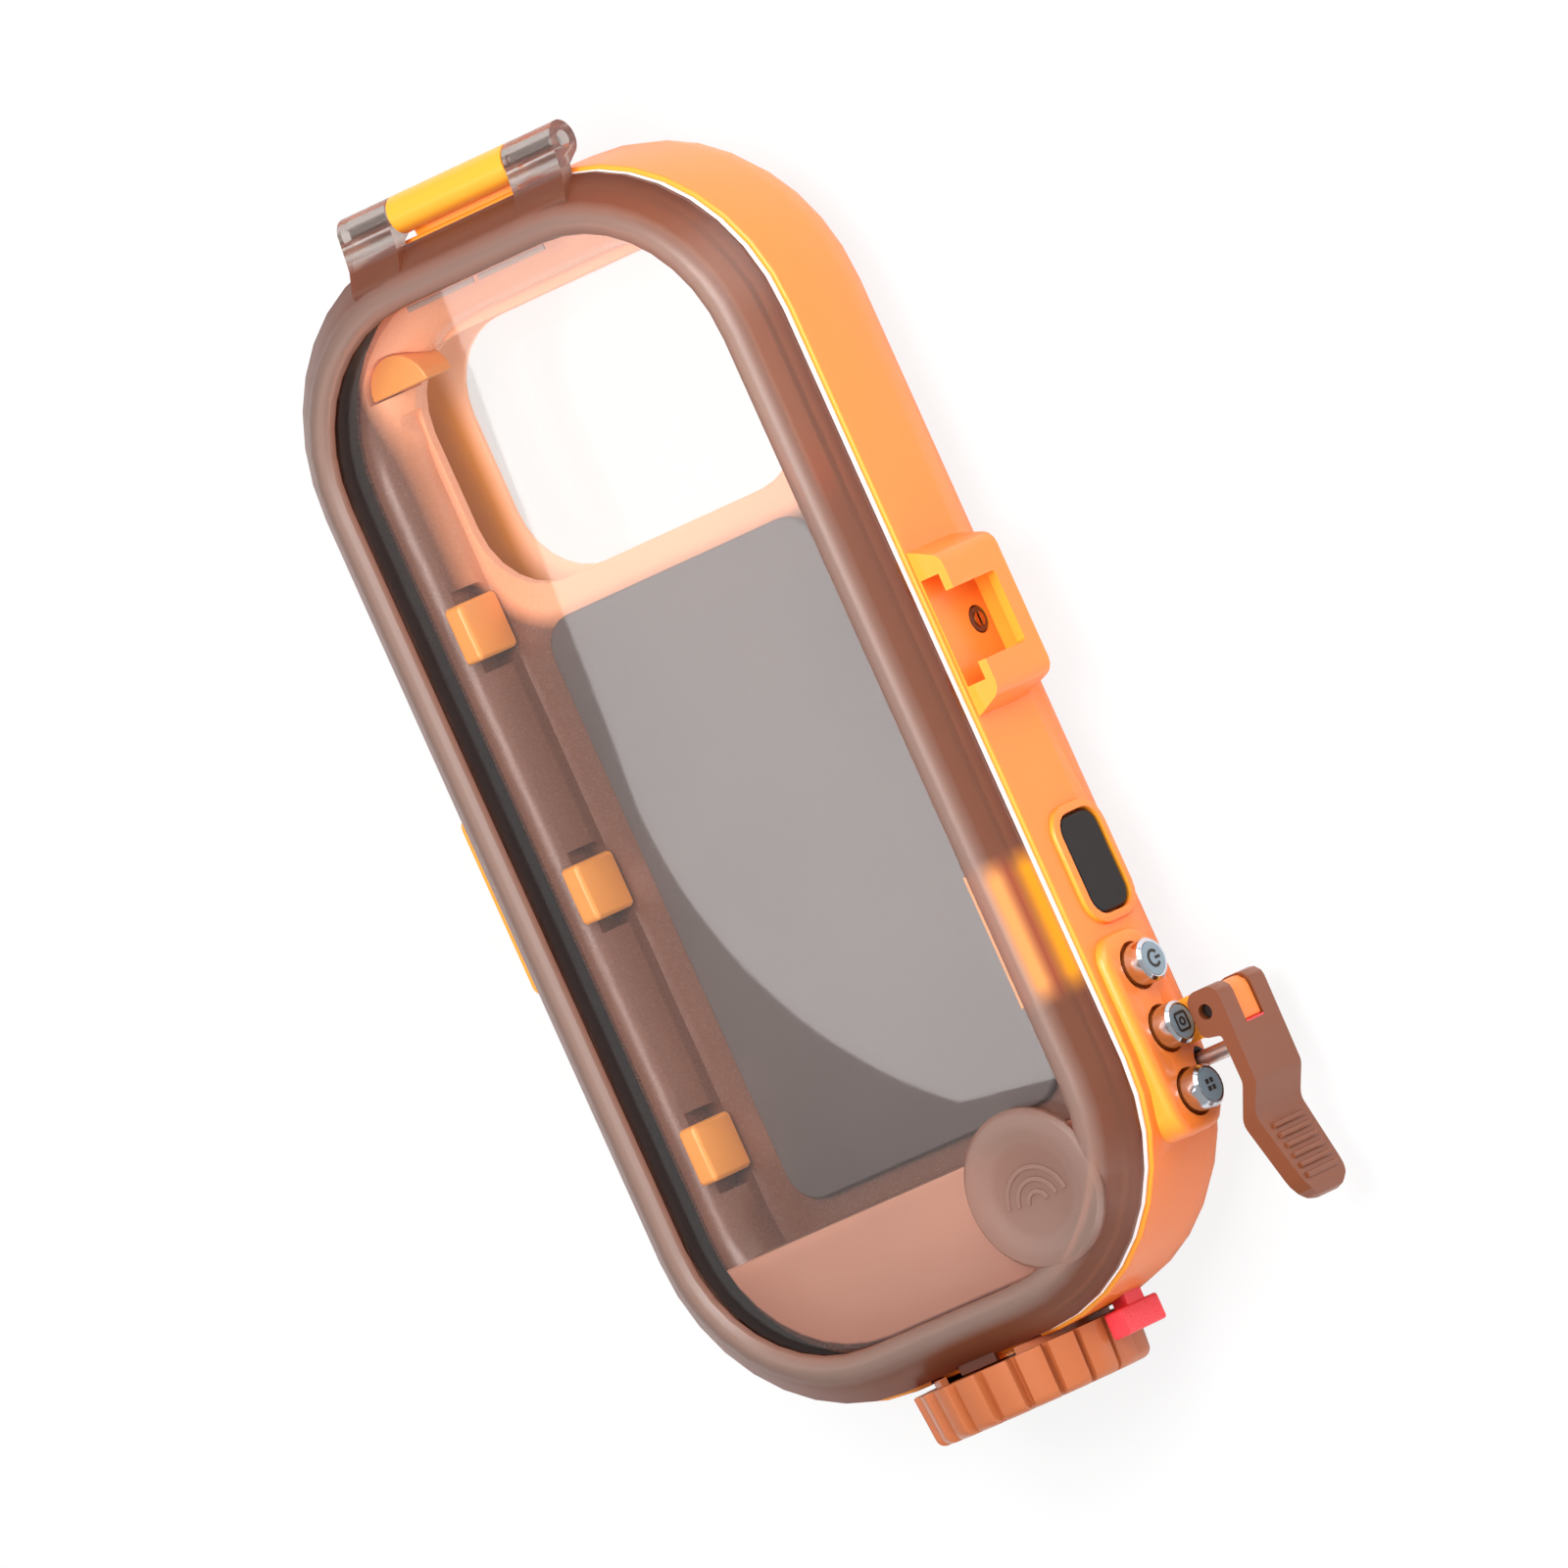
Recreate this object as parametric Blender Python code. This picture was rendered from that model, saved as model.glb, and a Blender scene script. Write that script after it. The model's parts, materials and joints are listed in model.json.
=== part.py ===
"""Waterproof phone case: a hinged hard case with push buttons, a shutter lever and a twist lock.

Frame: metres, origin at the centre of the back rest plane, +X to the case's right, +Y towards the
hinge, +Z out through the front window. The case lies on its back.
"""
import math

import bmesh
import bpy
from mathutils import Matrix, Vector

MM = 0.001

# Case shell
CASE_WIDTH = 105.6 * MM
CASE_LENGTH = 209.0 * MM
CORNER_RADIUS = 36.7 * MM
SHELL_DEPTH = 28.6 * MM
SHELL_WALL = 3.0 * MM
BACK_FILLET = 12.8 * MM
BACK_FRAME_HEIGHT = 2.1 * MM
BACK_FRAME_MARGIN = 12.0 * MM
LATCH_HALF_WIDTH = 26.0 * MM
LATCH_THICKNESS = 6.3 * MM
LATCH_DROP = 3.0 * MM
SEAT_GAP = 0.3 * MM
RUNNING_GAP = 0.25 * MM

# Main seal and cover
SEAL_HEIGHT = 1.5 * MM
SEAL_INSET = 0.9 * MM
SEAL_WIDTH = 2.0 * MM
SEAL_GAP = 0.1 * MM
RIM_INSET = 0.7 * MM
RIM_WIDTH = 9.4 * MM
RIM_HEIGHT = 7.2 * MM
RIM_SLOPE_RUN = 4.6 * MM
WINDOW_THICKNESS = 2.7 * MM
WINDOW_RECESS = 1.9 * MM
WINDOW_LEDGE = 2.2 * MM
THUMB_PAD_RADIUS = 13.8 * MM
THUMB_PAD_FROM_SIDE = 23.2 * MM
THUMB_PAD_FROM_END = 23.2 * MM
THUMB_PAD_DISH = 0.9 * MM

# Hinge
HINGE_OFFSET = 4.3 * MM
HINGE_BARREL_RADIUS = 3.35 * MM
HINGE_PIN_RADIUS = 1.25 * MM
HINGE_CENTRE_WIDTH = 26.2 * MM
HINGE_ARM_WIDTH = 11.0 * MM
HINGE_PIN_RECESS = 1.5 * MM

# Camera window in the back
CAMERA_WINDOW_SIDE_ROOM = 14.3 * MM
CAMERA_WINDOW_TOP_ROOM = 14.7 * MM
CAMERA_WINDOW_LENGTH = 49.8 * MM
CAMERA_WINDOW_CORNER = 16.0 * MM
CAMERA_WINDOW_THICKNESS = 2.4 * MM
CAMERA_WINDOW_LEDGE = 2.6 * MM

# Phone bay: the room between the phone, which is 71.5 x 149.6 mm, and the case's outside
PHONE_SIDE_ROOM = 17.05 * MM
PHONE_TOP_ROOM = 26.6 * MM
PHONE_BOTTOM_ROOM = 32.8 * MM
PHONE_DEPTH = 8.3 * MM
PHONE_FACE_DEPTH = 3.0 * MM
PHONE_GRIP_GAP = 0.4 * MM
CUSHION_THICKNESS = 1.6 * MM
LINER_GAP = 3.8 * MM
LINER_ROLL_WIDTH = 8.6 * MM
LINER_TOP_DEPTH = 4.4 * MM
LINER_FLOOR = 2.0 * MM
LINER_POST_RADIUS = 3.4 * MM
LINER_POST_FROM_SIDE = 20.8 * MM
LINER_POST_SHARES = (0.134, -0.287)

# Side bumpers, top bumper and clamp
BUMPER_LENGTH = 10.1 * MM
BUMPER_WIDTH = 3.6 * MM
BUMPER_HEIGHT = 11.0 * MM
BUMPER_SHARES = (0.1957, -0.0311, -0.2589)
BUMPER_RECESS_LENGTH = 14.6 * MM
TOP_BUMPER_FROM_SIDE = 21.3 * MM
TOP_BUMPER_FROM_END = 22.3 * MM
TOP_BUMPER_RADIUS = 6.2 * MM
CLAMP_FROM_END = 62.9 * MM
CLAMP_LENGTH = 23.8 * MM
CLAMP_WIDTH = 10.6 * MM
CLAMP_TRAVEL = 2.0 * MM
RAIL_RADIUS = 1.0 * MM
RAIL_SPACING = 14.0 * MM
RAIL_DEPTH = 8.5 * MM

# Electronics bay
PLATE_LENGTH = 31.4 * MM
PLATE_INSET = 10.0 * MM
PLATE_DEPTH = 1.6 * MM
BATTERY_RADIUS = 5.2 * MM
BATTERY_SIDE_ROOM = 30.55 * MM
BATTERY_PITCH = 10.9 * MM
BATTERY_FROM_END = 23.0 * MM
BOARD_THICKNESS = 1.0 * MM
BOARD_SIDE_ROOM = 33.3 * MM
BOARD_HEIGHT = 8.0 * MM

# Cold shoe on the right wall
SHOE_FROM_END = 112.7 * MM
SHOE_LENGTH = 24.4 * MM
SHOE_HEIGHT = 6.1 * MM
SHOE_SLOT_WIDTH = 19.0 * MM
SHOE_LIP_OPENING = 12.8 * MM
SHOE_LIP = 1.75 * MM
SHOE_TOP_DEPTH = 1.4 * MM
SHOE_BOTTOM_DEPTH = 17.4 * MM
SHOE_END_WALL = 2.2 * MM
SHOE_INSERT_DEPTH = 11.8 * MM
SHOE_INSERT_RADIUS = 2.2 * MM
SHOE_INSERT_LENGTH = 1.6 * MM
SHOE_SLOPE = 2.6 * MM
SHOE_BACK_CORNER = 5.0 * MM
SHOE_FLOOR = 0.4 * MM
SHOE_MOUTH_STEP = 1.6 * MM

# Side lens
LENS_FROM_END = 68.6 * MM
LENS_DEPTH = 13.3 * MM
LENS_LENGTH = 17.4 * MM
LENS_WIDTH = 11.0 * MM
LENS_CORNER = 3.2 * MM
LENS_RIM = 1.9 * MM
LENS_RIM_HEIGHT = 0.9 * MM
LENS_THICKNESS = 1.8 * MM

# Push buttons
BOSS_LENGTH = 36.0 * MM
BOSS_WIDTH = 14.6 * MM
BOSS_DEPTH = 10.1 * MM
BOSS_HEIGHT = 2.0 * MM
BUTTON_PITCH = 11.4 * MM
BUTTONS_FROM_END = 38.5 * MM
BUTTON_DEPTH = 10.4 * MM
BUTTON_RADIUS = 3.75 * MM
BUTTON_PROUD = 3.7 * MM
BUTTON_STEM_RADIUS = 1.5 * MM
BUTTON_TRAVEL = 1.4 * MM
BUTTON_WELL_DEPTH = 2.0 * MM
BUTTON_WELL_GAP = 0.5 * MM
BUTTON_SEAL_SECTION = 1.1 * MM
BUTTON_CLIP_RADIUS = 2.8 * MM
BUTTON_CLIP_THICKNESS = 0.8 * MM

# Shutter lever
LEVER_PIVOT_OUT = 11.0 * MM
LEVER_PIVOT_FROM_END = 38.3 * MM
LEVER_DEPTH = 17.0 * MM
LEVER_WIDTH = 13.8 * MM
LEVER_REACH = 15.0 * MM
LEVER_LENGTH = 39.6 * MM
LEVER_PLATE = 3.0 * MM
LEVER_CHEEK_DEPTH = 6.9 * MM
LEVER_HEEL = 3.8 * MM
LEVER_SLOT_WIDTH = 5.4 * MM
LEVER_SLOT_DEPTH = 8.0 * MM
LEVER_PIN_RADIUS = 1.2 * MM
LUG_WIDTH = 4.8 * MM
LUG_RECESS = 0.5 * MM
LEVER_ROUND = 2.2 * MM
PIN_RECESS = 1.0 * MM
ROD_FROM_PIVOT = 7.0 * MM
ROD_RADIUS = 1.4 * MM
ROD_END_GAP = 0.4 * MM
BUSH_RADIUS = 2.6 * MM
BUSH_LENGTH = 2.6 * MM
ROD_INSIDE = 2.2 * MM
THUMB_RIBS = 6
THUMB_RIB_RADIUS = 0.6 * MM
THUMB_RIB_LENGTH = 9.0 * MM

# Knob and lock
KNOB_DEPTH = 11.2 * MM
KNOB_RADIUS = 20.2 * MM
KNOB_TAPER = 0.6 * MM
KNOB_LENGTH = 9.3 * MM
KNOB_GAP = 0.9 * MM
KNOB_EDGE = 1.6 * MM
KNOB_FLUTES = 20
KNOB_FLUTE_DEPTH = 1.1 * MM
KNOB_PHASE = 0.5
KNOB_BOSS_RADIUS = 10.0 * MM
KNOB_SHAFT_RADIUS = 4.0 * MM
KNOB_SCREW_DEPTH = 4.6 * MM
KNOB_HEAD_RADIUS = 7.0 * MM
KNOB_HEAD_HEIGHT = 2.4 * MM
KNOB_HEAD_RECESS = 4.0 * MM
COLLAR_INNER = 14.4 * MM
COLLAR_WIDTH = 1.5 * MM
COLLAR_REACH = 1.3 * MM
COLLAR_SEAT = 1.2 * MM
COLLAR_OPENING = 64.0
CATCH_WIDTH = 8.0 * MM
CATCH_HEIGHT = 1.1 * MM
CATCH_ROOT = 1.0 * MM
LOCK_TAB_GAP = 0.6 * MM
LOCK_TAB_WIDTH = 3.8 * MM
LOCK_TAB_HEIGHT = 11.4 * MM
LOCK_TAB_DEPTH = 13.0 * MM
LOCK_TAB_LENGTH = 4.6 * MM
LOCK_STEM_HEIGHT = 5.0 * MM
LOCK_STEM_WIDTH = 3.0 * MM
LOCK_STEM_LENGTH = 4.0 * MM
LOCK_TRAVEL = 0.8 * MM
LOCK_TOOTH_WIDTH = 1.2 * MM
LOCK_TOOTH_HEIGHT = 0.3 * MM

# Boss with the tripod insert on the left wall
TRIPOD_FROM_END = 101.5 * MM
TRIPOD_LENGTH = 30.6 * MM
TRIPOD_WIDTH = 15.0 * MM
TRIPOD_DEPTH = 11.0 * MM
TRIPOD_HEIGHT = 4.0 * MM
TRIPOD_SLOPE = 2.4 * MM
TRIPOD_INSERT_RADIUS = 4.4 * MM
TRIPOD_BORE_RADIUS = 2.75 * MM
TRIPOD_INSERT_LENGTH = 5.6 * MM

# Worked out from the sizes above. The seal plane is the joint between shell and cover.
HALF_X = CASE_WIDTH / 2
HALF_Y = CASE_LENGTH / 2
PHONE_WIDTH = CASE_WIDTH - 2 * PHONE_SIDE_ROOM
PHONE_TOP = HALF_Y - PHONE_TOP_ROOM
CAMERA_WINDOW_WIDTH = CASE_WIDTH - 2 * CAMERA_WINDOW_SIDE_ROOM
CAMERA_WINDOW_TOP = HALF_Y - CAMERA_WINDOW_TOP_ROOM
CAMERA_WINDOW_BOTTOM = CAMERA_WINDOW_TOP - CAMERA_WINDOW_LENGTH
THUMB_PAD_X = HALF_X - THUMB_PAD_FROM_SIDE
THUMB_PAD_Y = THUMB_PAD_FROM_END - HALF_Y
LINER_POST_X = HALF_X - LINER_POST_FROM_SIDE
LINER_POST_YS = [share * CASE_LENGTH for share in LINER_POST_SHARES]
BUMPER_YS = [share * CASE_LENGTH for share in BUMPER_SHARES]
TOP_BUMPER_X = TOP_BUMPER_FROM_SIDE - HALF_X
TOP_BUMPER_Y = HALF_Y - TOP_BUMPER_FROM_END
CLAMP_Y = CLAMP_FROM_END - HALF_Y
PLATE_TOP = PLATE_LENGTH - HALF_Y
BATTERY_Y = BATTERY_FROM_END - HALF_Y
BATTERY_LENGTH = CASE_WIDTH - 2 * BATTERY_SIDE_ROOM
BOARD_WIDTH = CASE_WIDTH - 2 * BOARD_SIDE_ROOM
SHOE_Y = SHOE_FROM_END - HALF_Y
LENS_Y = LENS_FROM_END - HALF_Y
BUTTON_MID_Y = BUTTONS_FROM_END - HALF_Y
LEVER_PIVOT_X = HALF_X + LEVER_PIVOT_OUT
LEVER_PIVOT_Y = LEVER_PIVOT_FROM_END - HALF_Y
LEVER_OUTER_X = HALF_X + LEVER_REACH
LEVER_TOP_Y = LEVER_PIVOT_Y + LEVER_HEEL
LEVER_CHEEK_X = LEVER_OUTER_X - LEVER_CHEEK_DEPTH
LEVER_TIP_Y = LEVER_TOP_Y - LEVER_LENGTH
LEVER_SLOT_BOTTOM = LEVER_TOP_Y - LEVER_SLOT_DEPTH
ROD_Y = LEVER_PIVOT_Y - ROD_FROM_PIVOT
LOCK_TAB_X = KNOB_RADIUS + LOCK_TAB_GAP
TRIPOD_Y = TRIPOD_FROM_END - HALF_Y
SEAL_Z = SHELL_DEPTH + BACK_FRAME_HEIGHT + SEAL_HEIGHT / 2 + SEAL_GAP
SHELL_TOP = SEAL_Z - SEAL_HEIGHT / 2 - SEAL_GAP
SHELL_BACK = BACK_FRAME_HEIGHT
FLOOR_Z = SHELL_BACK + SHELL_WALL
RIM_BOTTOM = SEAL_Z + SEAL_HEIGHT / 2 + SEAL_GAP
RIM_TOP = RIM_BOTTOM + RIM_HEIGHT
RIM_INNER = RIM_INSET + RIM_WIDTH
WINDOW_TOP = RIM_TOP - WINDOW_RECESS - SEAT_GAP
WINDOW_INSET = RIM_INNER - WINDOW_LEDGE + SEAT_GAP
HINGE_Y = HALF_Y + HINGE_OFFSET
PHONE_FACE = SEAL_Z - PHONE_FACE_DEPTH
PHONE_BACK = PHONE_FACE - PHONE_DEPTH
LINER_BASE = PHONE_BACK - CUSHION_THICKNESS - 2 * SEAT_GAP - LINER_FLOOR
LINER_FLOOR_TOP = LINER_BASE + LINER_FLOOR
LINER_INSET = SHELL_WALL + LINER_GAP
LINER_INNER_X = HALF_X - LINER_INSET - LINER_ROLL_WIDTH
LINER_TOP = SEAL_Z - LINER_TOP_DEPTH
BUMPER_X = -PHONE_WIDTH / 2 - PHONE_GRIP_GAP
CLAMP_X = PHONE_WIDTH / 2 + PHONE_GRIP_GAP
BOSS_FACE_X = HALF_X + BOSS_HEIGHT
BUTTON_Z = SEAL_Z - BUTTON_DEPTH
LEVER_Z = SEAL_Z - LEVER_DEPTH
KNOB_Z = SEAL_Z - KNOB_DEPTH
KNOB_FACE_Y = -HALF_Y - KNOB_GAP
LOCK_Z = SEAL_Z - LOCK_TAB_DEPTH
CAMERA_SEAT_Z = FLOOR_Z - 0.8 * MM
SHOE_INSERT_Z = SEAL_Z - SHOE_INSERT_DEPTH
LENS_Z = SEAL_Z - LENS_DEPTH
LENS_BACK_X = HALF_X + LENS_RIM_HEIGHT - SEAT_GAP - LENS_THICKNESS
WELL_FLOOR_X = BOSS_FACE_X - BUTTON_WELL_DEPTH
GROOVE_RADIUS = BUTTON_STEM_RADIUS + RUNNING_GAP + BUTTON_SEAL_SECTION + SEAT_GAP
GROOVE_DEPTH = BUTTON_SEAL_SECTION + SEAT_GAP
BUSH_BACK_X = HALF_X - 1.6 * MM
KNOB_SCREW_END_Y = KNOB_FACE_Y + KNOB_SCREW_DEPTH
LOCK_STEM_X = LOCK_TAB_X + LOCK_TAB_WIDTH / 2
LOCK_STEM_END_Y = KNOB_FACE_Y + LOCK_STEM_LENGTH
TRIPOD_Z = SEAL_Z - TRIPOD_DEPTH
RAIL_Z = SEAL_Z - RAIL_DEPTH
RAIL_END_X = HALF_X - SHELL_WALL / 2
BUMPER_LOW = LINER_FLOOR_TOP + SEAT_GAP
CLIP_X = HALF_X - SHELL_WALL - SEAT_GAP - BUTTON_CLIP_THICKNESS
HEAD_SEAT_Y = KNOB_FACE_Y - KNOB_LENGTH + KNOB_HEAD_RECESS
across, along, upward = range(3)

for old in list(bpy.data.objects):
    bpy.data.objects.remove(old, do_unlink=True)

parts = bpy.data.collections.new("waterproof_phone_case")
cutters = bpy.data.collections.new("cutters")
bpy.context.scene.collection.children.link(parts)
bpy.context.scene.collection.children.link(cutters)


def material(name, colour, roughness, metallic=0.0, transmission=0.0):
    """A Principled material in the part's own colour."""
    made = bpy.data.materials.new(name)
    made.use_nodes = True
    shader = made.node_tree.nodes["Principled BSDF"]
    shader.inputs["Base Color"].default_value = (*colour, 1.0)
    shader.inputs["Roughness"].default_value = roughness
    shader.inputs["Metallic"].default_value = metallic
    shader.inputs["Transmission Weight"].default_value = transmission
    made.diffuse_color = (*colour, 1.0)
    return made


def publish(name, thing, colour, roughness=0.4, metallic=0.0, transmission=0.0):
    """Moves a finished shape into the part's collection under its own name and material."""
    thing.name = name
    thing.data.name = name
    thing.data.materials.clear()
    thing.data.materials.append(material(name, colour, roughness, metallic, transmission))
    for collection in list(thing.users_collection):
        collection.objects.unlink(thing)
    parts.objects.link(thing)
    thing.hide_render = False
    thing.display_type = "TEXTURED"
    thing.data.shade_smooth()
    thing.data.set_sharp_from_angle(angle=math.radians(35))
    return thing


def tool(name, mesh):
    """A shape that starts among the cutters."""
    thing = bpy.data.objects.new(name, mesh)
    cutters.objects.link(thing)
    thing.hide_render = True
    thing.display_type = "WIRE"
    return thing


def mesh_from(name, bm):
    mesh = bpy.data.meshes.new(name)
    bm.to_mesh(mesh)
    bm.free()
    return tool(name, mesh)


def boolean(target, other, operation):
    modifier = target.modifiers.new(other.name, "BOOLEAN")
    modifier.operation = operation
    modifier.object = other
    modifier.solver = "EXACT"


def cut(target, *tools):
    for other in tools:
        boolean(target, other, "DIFFERENCE")


def join(target, *tools):
    for other in tools:
        boolean(target, other, "UNION")


def block(name, low, high, axis=upward, corner=0.0, low_edge=0.0, high_edge=0.0, corner_steps=5,
          edge_steps=2):
    """A box between two corners, its four edges along axis rounded, and the rims of its ends too."""
    bm = bmesh.new()
    bmesh.ops.create_cube(bm, size=1.0)
    size = [high[i] - low[i] for i in range(3)]
    middle = [(high[i] + low[i]) / 2 for i in range(3)]
    for vert in bm.verts:
        vert.co = Vector([middle[i] + vert.co[i] * size[i] for i in range(3)])

    def edges_at(level):
        return [e for e in bm.edges if all(abs(v.co[axis] - level) < 1e-7 for v in e.verts)]

    def round_edges(edges, radius, steps):
        if radius > 0.0:
            bmesh.ops.bevel(bm, geom=edges, offset=radius, offset_type="OFFSET", segments=steps,
                            profile=0.5, affect="EDGES", clamp_overlap=True)

    along = [e for e in bm.edges if abs(e.verts[0].co[axis] - e.verts[1].co[axis]) > 1e-7]
    round_edges(along, corner, corner_steps)
    round_edges(edges_at(low[axis]), low_edge, edge_steps)
    round_edges(edges_at(high[axis]), high_edge, edge_steps)
    return mesh_from(name, bm)


def rod(name, radius, start, end, segments=24, end_radius=None):
    """A cylinder or cone from start to end."""
    start, end = Vector(start), Vector(end)
    bm = bmesh.new()
    bmesh.ops.create_cone(bm, cap_ends=True, segments=segments, radius1=radius,
                          radius2=radius if end_radius is None else end_radius, depth=(end - start).length)
    turn = Vector((0, 0, 1)).rotation_difference(end - start).to_matrix().to_4x4()
    bm.transform(Matrix.Translation((start + end) / 2) @ turn)
    return mesh_from(name, bm)


def turned(name, profile, place, direction, steps=32):
    """A closed profile of (radius, height) points, revolved about its height axis and set at place."""
    bm = bmesh.new()
    verts = [bm.verts.new((radius, 0.0, height)) for radius, height in profile]
    edges = [bm.edges.new((verts[i - 1], verts[i])) for i in range(len(verts))
             if profile[i - 1][0] > 0 or profile[i][0] > 0]
    bmesh.ops.spin(bm, geom=verts + edges, cent=(0, 0, 0), axis=(0, 0, 1), angle=math.tau, steps=steps,
                   use_merge=True, use_duplicate=False)
    bmesh.ops.remove_doubles(bm, verts=bm.verts, dist=1e-7)
    bmesh.ops.recalc_face_normals(bm, faces=bm.faces)
    turn = Vector((0, 0, 1)).rotation_difference(Vector(direction)).to_matrix().to_4x4()
    bm.transform(Matrix.Translation(Vector(place)) @ turn)
    return mesh_from(name, bm)


def flat_curve(name, points):
    """A closed flat outline."""
    curve = bpy.data.curves.new(name, "CURVE")
    curve.dimensions = "2D"
    spline = curve.splines.new("POLY")
    spline.points.add(len(points) - 1)
    for point, (x, y) in zip(spline.points, points):
        point.co = (x, y, 0.0, 1.0)
    spline.use_cyclic_u = True
    thing = bpy.data.objects.new(name, curve)
    cutters.objects.link(thing)
    return thing


def curve_to_mesh(name, curve, place=Matrix.Identity(4)):
    """Turns a curve object into a welded mesh tool and removes the curve."""
    bpy.context.view_layer.update()
    graph = bpy.context.evaluated_depsgraph_get()
    mesh = bpy.data.meshes.new_from_object(curve.evaluated_get(graph))
    bm = bmesh.new()
    bm.from_mesh(mesh)
    bmesh.ops.remove_doubles(bm, verts=bm.verts, dist=1e-7)
    bmesh.ops.dissolve_limit(bm, angle_limit=math.radians(0.5), verts=bm.verts, edges=bm.edges)
    bmesh.ops.recalc_face_normals(bm, faces=bm.faces)
    bm.transform(place)
    bpy.data.objects.remove(curve, do_unlink=True)
    return mesh_from(name, bm)


def prism(name, points, low, high, place=Matrix.Identity(4)):
    """A flat outline in the local XY plane, extruded from low to high and then set by place."""
    curve = flat_curve(name + "_outline", points)
    curve.data.fill_mode = "BOTH"
    curve.data.extrude = (high - low) / 2
    return curve_to_mesh(name, curve, place @ Matrix.Translation((0, 0, (low + high) / 2)))


def arc(centre_x, centre_y, radius, first, last, steps):
    """Points along an arc, angles in degrees."""
    angles = [math.radians(first + (last - first) * i / steps) for i in range(steps + 1)]
    return [(centre_x + radius * math.cos(a), centre_y + radius * math.sin(a)) for a in angles]


def filleted(corners, steps=3):
    """An outline from corners given as (x, y, radius), each rounded by an arc that touches both sides."""
    points = []
    for index, (x, y, radius) in enumerate(corners):
        here = Vector((x, y))
        back = (Vector(corners[index - 1][:2]) - here).normalized()
        ahead = (Vector(corners[(index + 1) % len(corners)][:2]) - here).normalized()
        if radius == 0.0:
            points.append((x, y))
            continue
        half_angle = back.angle(ahead) / 2
        reach = radius / math.tan(half_angle)
        centre = here + (back + ahead).normalized() * radius / math.sin(half_angle)
        for step in range(steps + 1):
            spot = (here + back * reach).lerp(here + ahead * reach, step / steps)
            points.append(tuple(centre + (spot - centre).normalized() * radius))
    return points


def case_outline(steps=9):
    """The case's rounded rectangle seen from the front."""
    x, y = HALF_X - CORNER_RADIUS, HALF_Y - CORNER_RADIUS
    points = []
    for centre_x, centre_y, first in ((x, y, 0), (-x, y, 90), (-x, -y, 180), (x, -y, 270)):
        points += arc(centre_x, centre_y, CORNER_RADIUS, first, first + 90, steps)
    return points


def swept(name, section):
    """A closed section of (inset from the case outline, height) points, carried round the outline."""
    path = flat_curve(name + "_path", case_outline())
    profile = flat_curve(name + "_section", section)
    path.data.bevel_mode = "OBJECT"
    path.data.bevel_object = profile
    thing = curve_to_mesh(name, path)
    bpy.data.objects.remove(profile, do_unlink=True)
    return thing


def case_block(name, inset, low, high, low_edge=0.0, high_edge=0.0, edge_steps=4):
    """A solid of the case outline, moved in by inset all round."""
    half_x, half_y = HALF_X - inset, HALF_Y - inset
    return block(name, (-half_x, -half_y, low), (half_x, half_y, high), upward, CORNER_RADIUS - inset,
                 low_edge, high_edge, corner_steps=9, edge_steps=edge_steps)


def joint_axis(name, place, *things):
    """An empty on a joint's axis that carries the pieces which move about it."""
    empty = bpy.data.objects.new(name, None)
    parts.objects.link(empty)
    empty.location = place
    for thing in things:
        thing.parent = empty
        thing.location = -Vector(place)


ORANGE = (1.0, 0.30, 0.06)
BROWN = (0.30, 0.11, 0.05)
SMOKE = (0.35, 0.20, 0.15)
CLEAR = (0.90, 0.92, 0.92)
STEEL = (0.62, 0.63, 0.65)
BLACK = (0.03, 0.03, 0.03)


def side_outline(centre_y, half_length, height, slope, root=2.0 * MM):
    """A raised pad on a side wall, seen along Z: wide and blended at the wall, narrower at its face."""
    foot = half_length + slope
    rounding = 0.45 * height
    return filleted([(HALF_X - root, centre_y - foot, 0.0), (HALF_X, centre_y - foot, rounding),
                     (HALF_X + height, centre_y - half_length, rounding),
                     (HALF_X + height, centre_y + half_length, rounding),
                     (HALF_X, centre_y + foot, rounding), (HALF_X - root, centre_y + foot, 0.0)])


def hinge_section(points):
    """An outline given from the hinge axis in the YZ plane, for a prism along X."""
    return [(HINGE_Y + y, SEAL_Z + z) for y, z in points]


# A prism's local X, Y and Z become the case's Y, Z and X.
ALONG_X = Matrix(((0, 0, 1, 0), (1, 0, 0, 0), (0, 1, 0, 0), (0, 0, 0, 1)))
# A prism's local X, Y and Z become the case's X, Z and -Y.
ALONG_Y = Matrix(((1, 0, 0, 0), (0, 0, -1, 0), (0, 1, 0, 0), (0, 0, 0, 1)))
MIRRORED_X = Matrix.Rotation(math.pi, 4, "Z")

hinge_round = HINGE_BARREL_RADIUS
knob_centre = (0.0, KNOB_FACE_Y, KNOB_Z)


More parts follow.
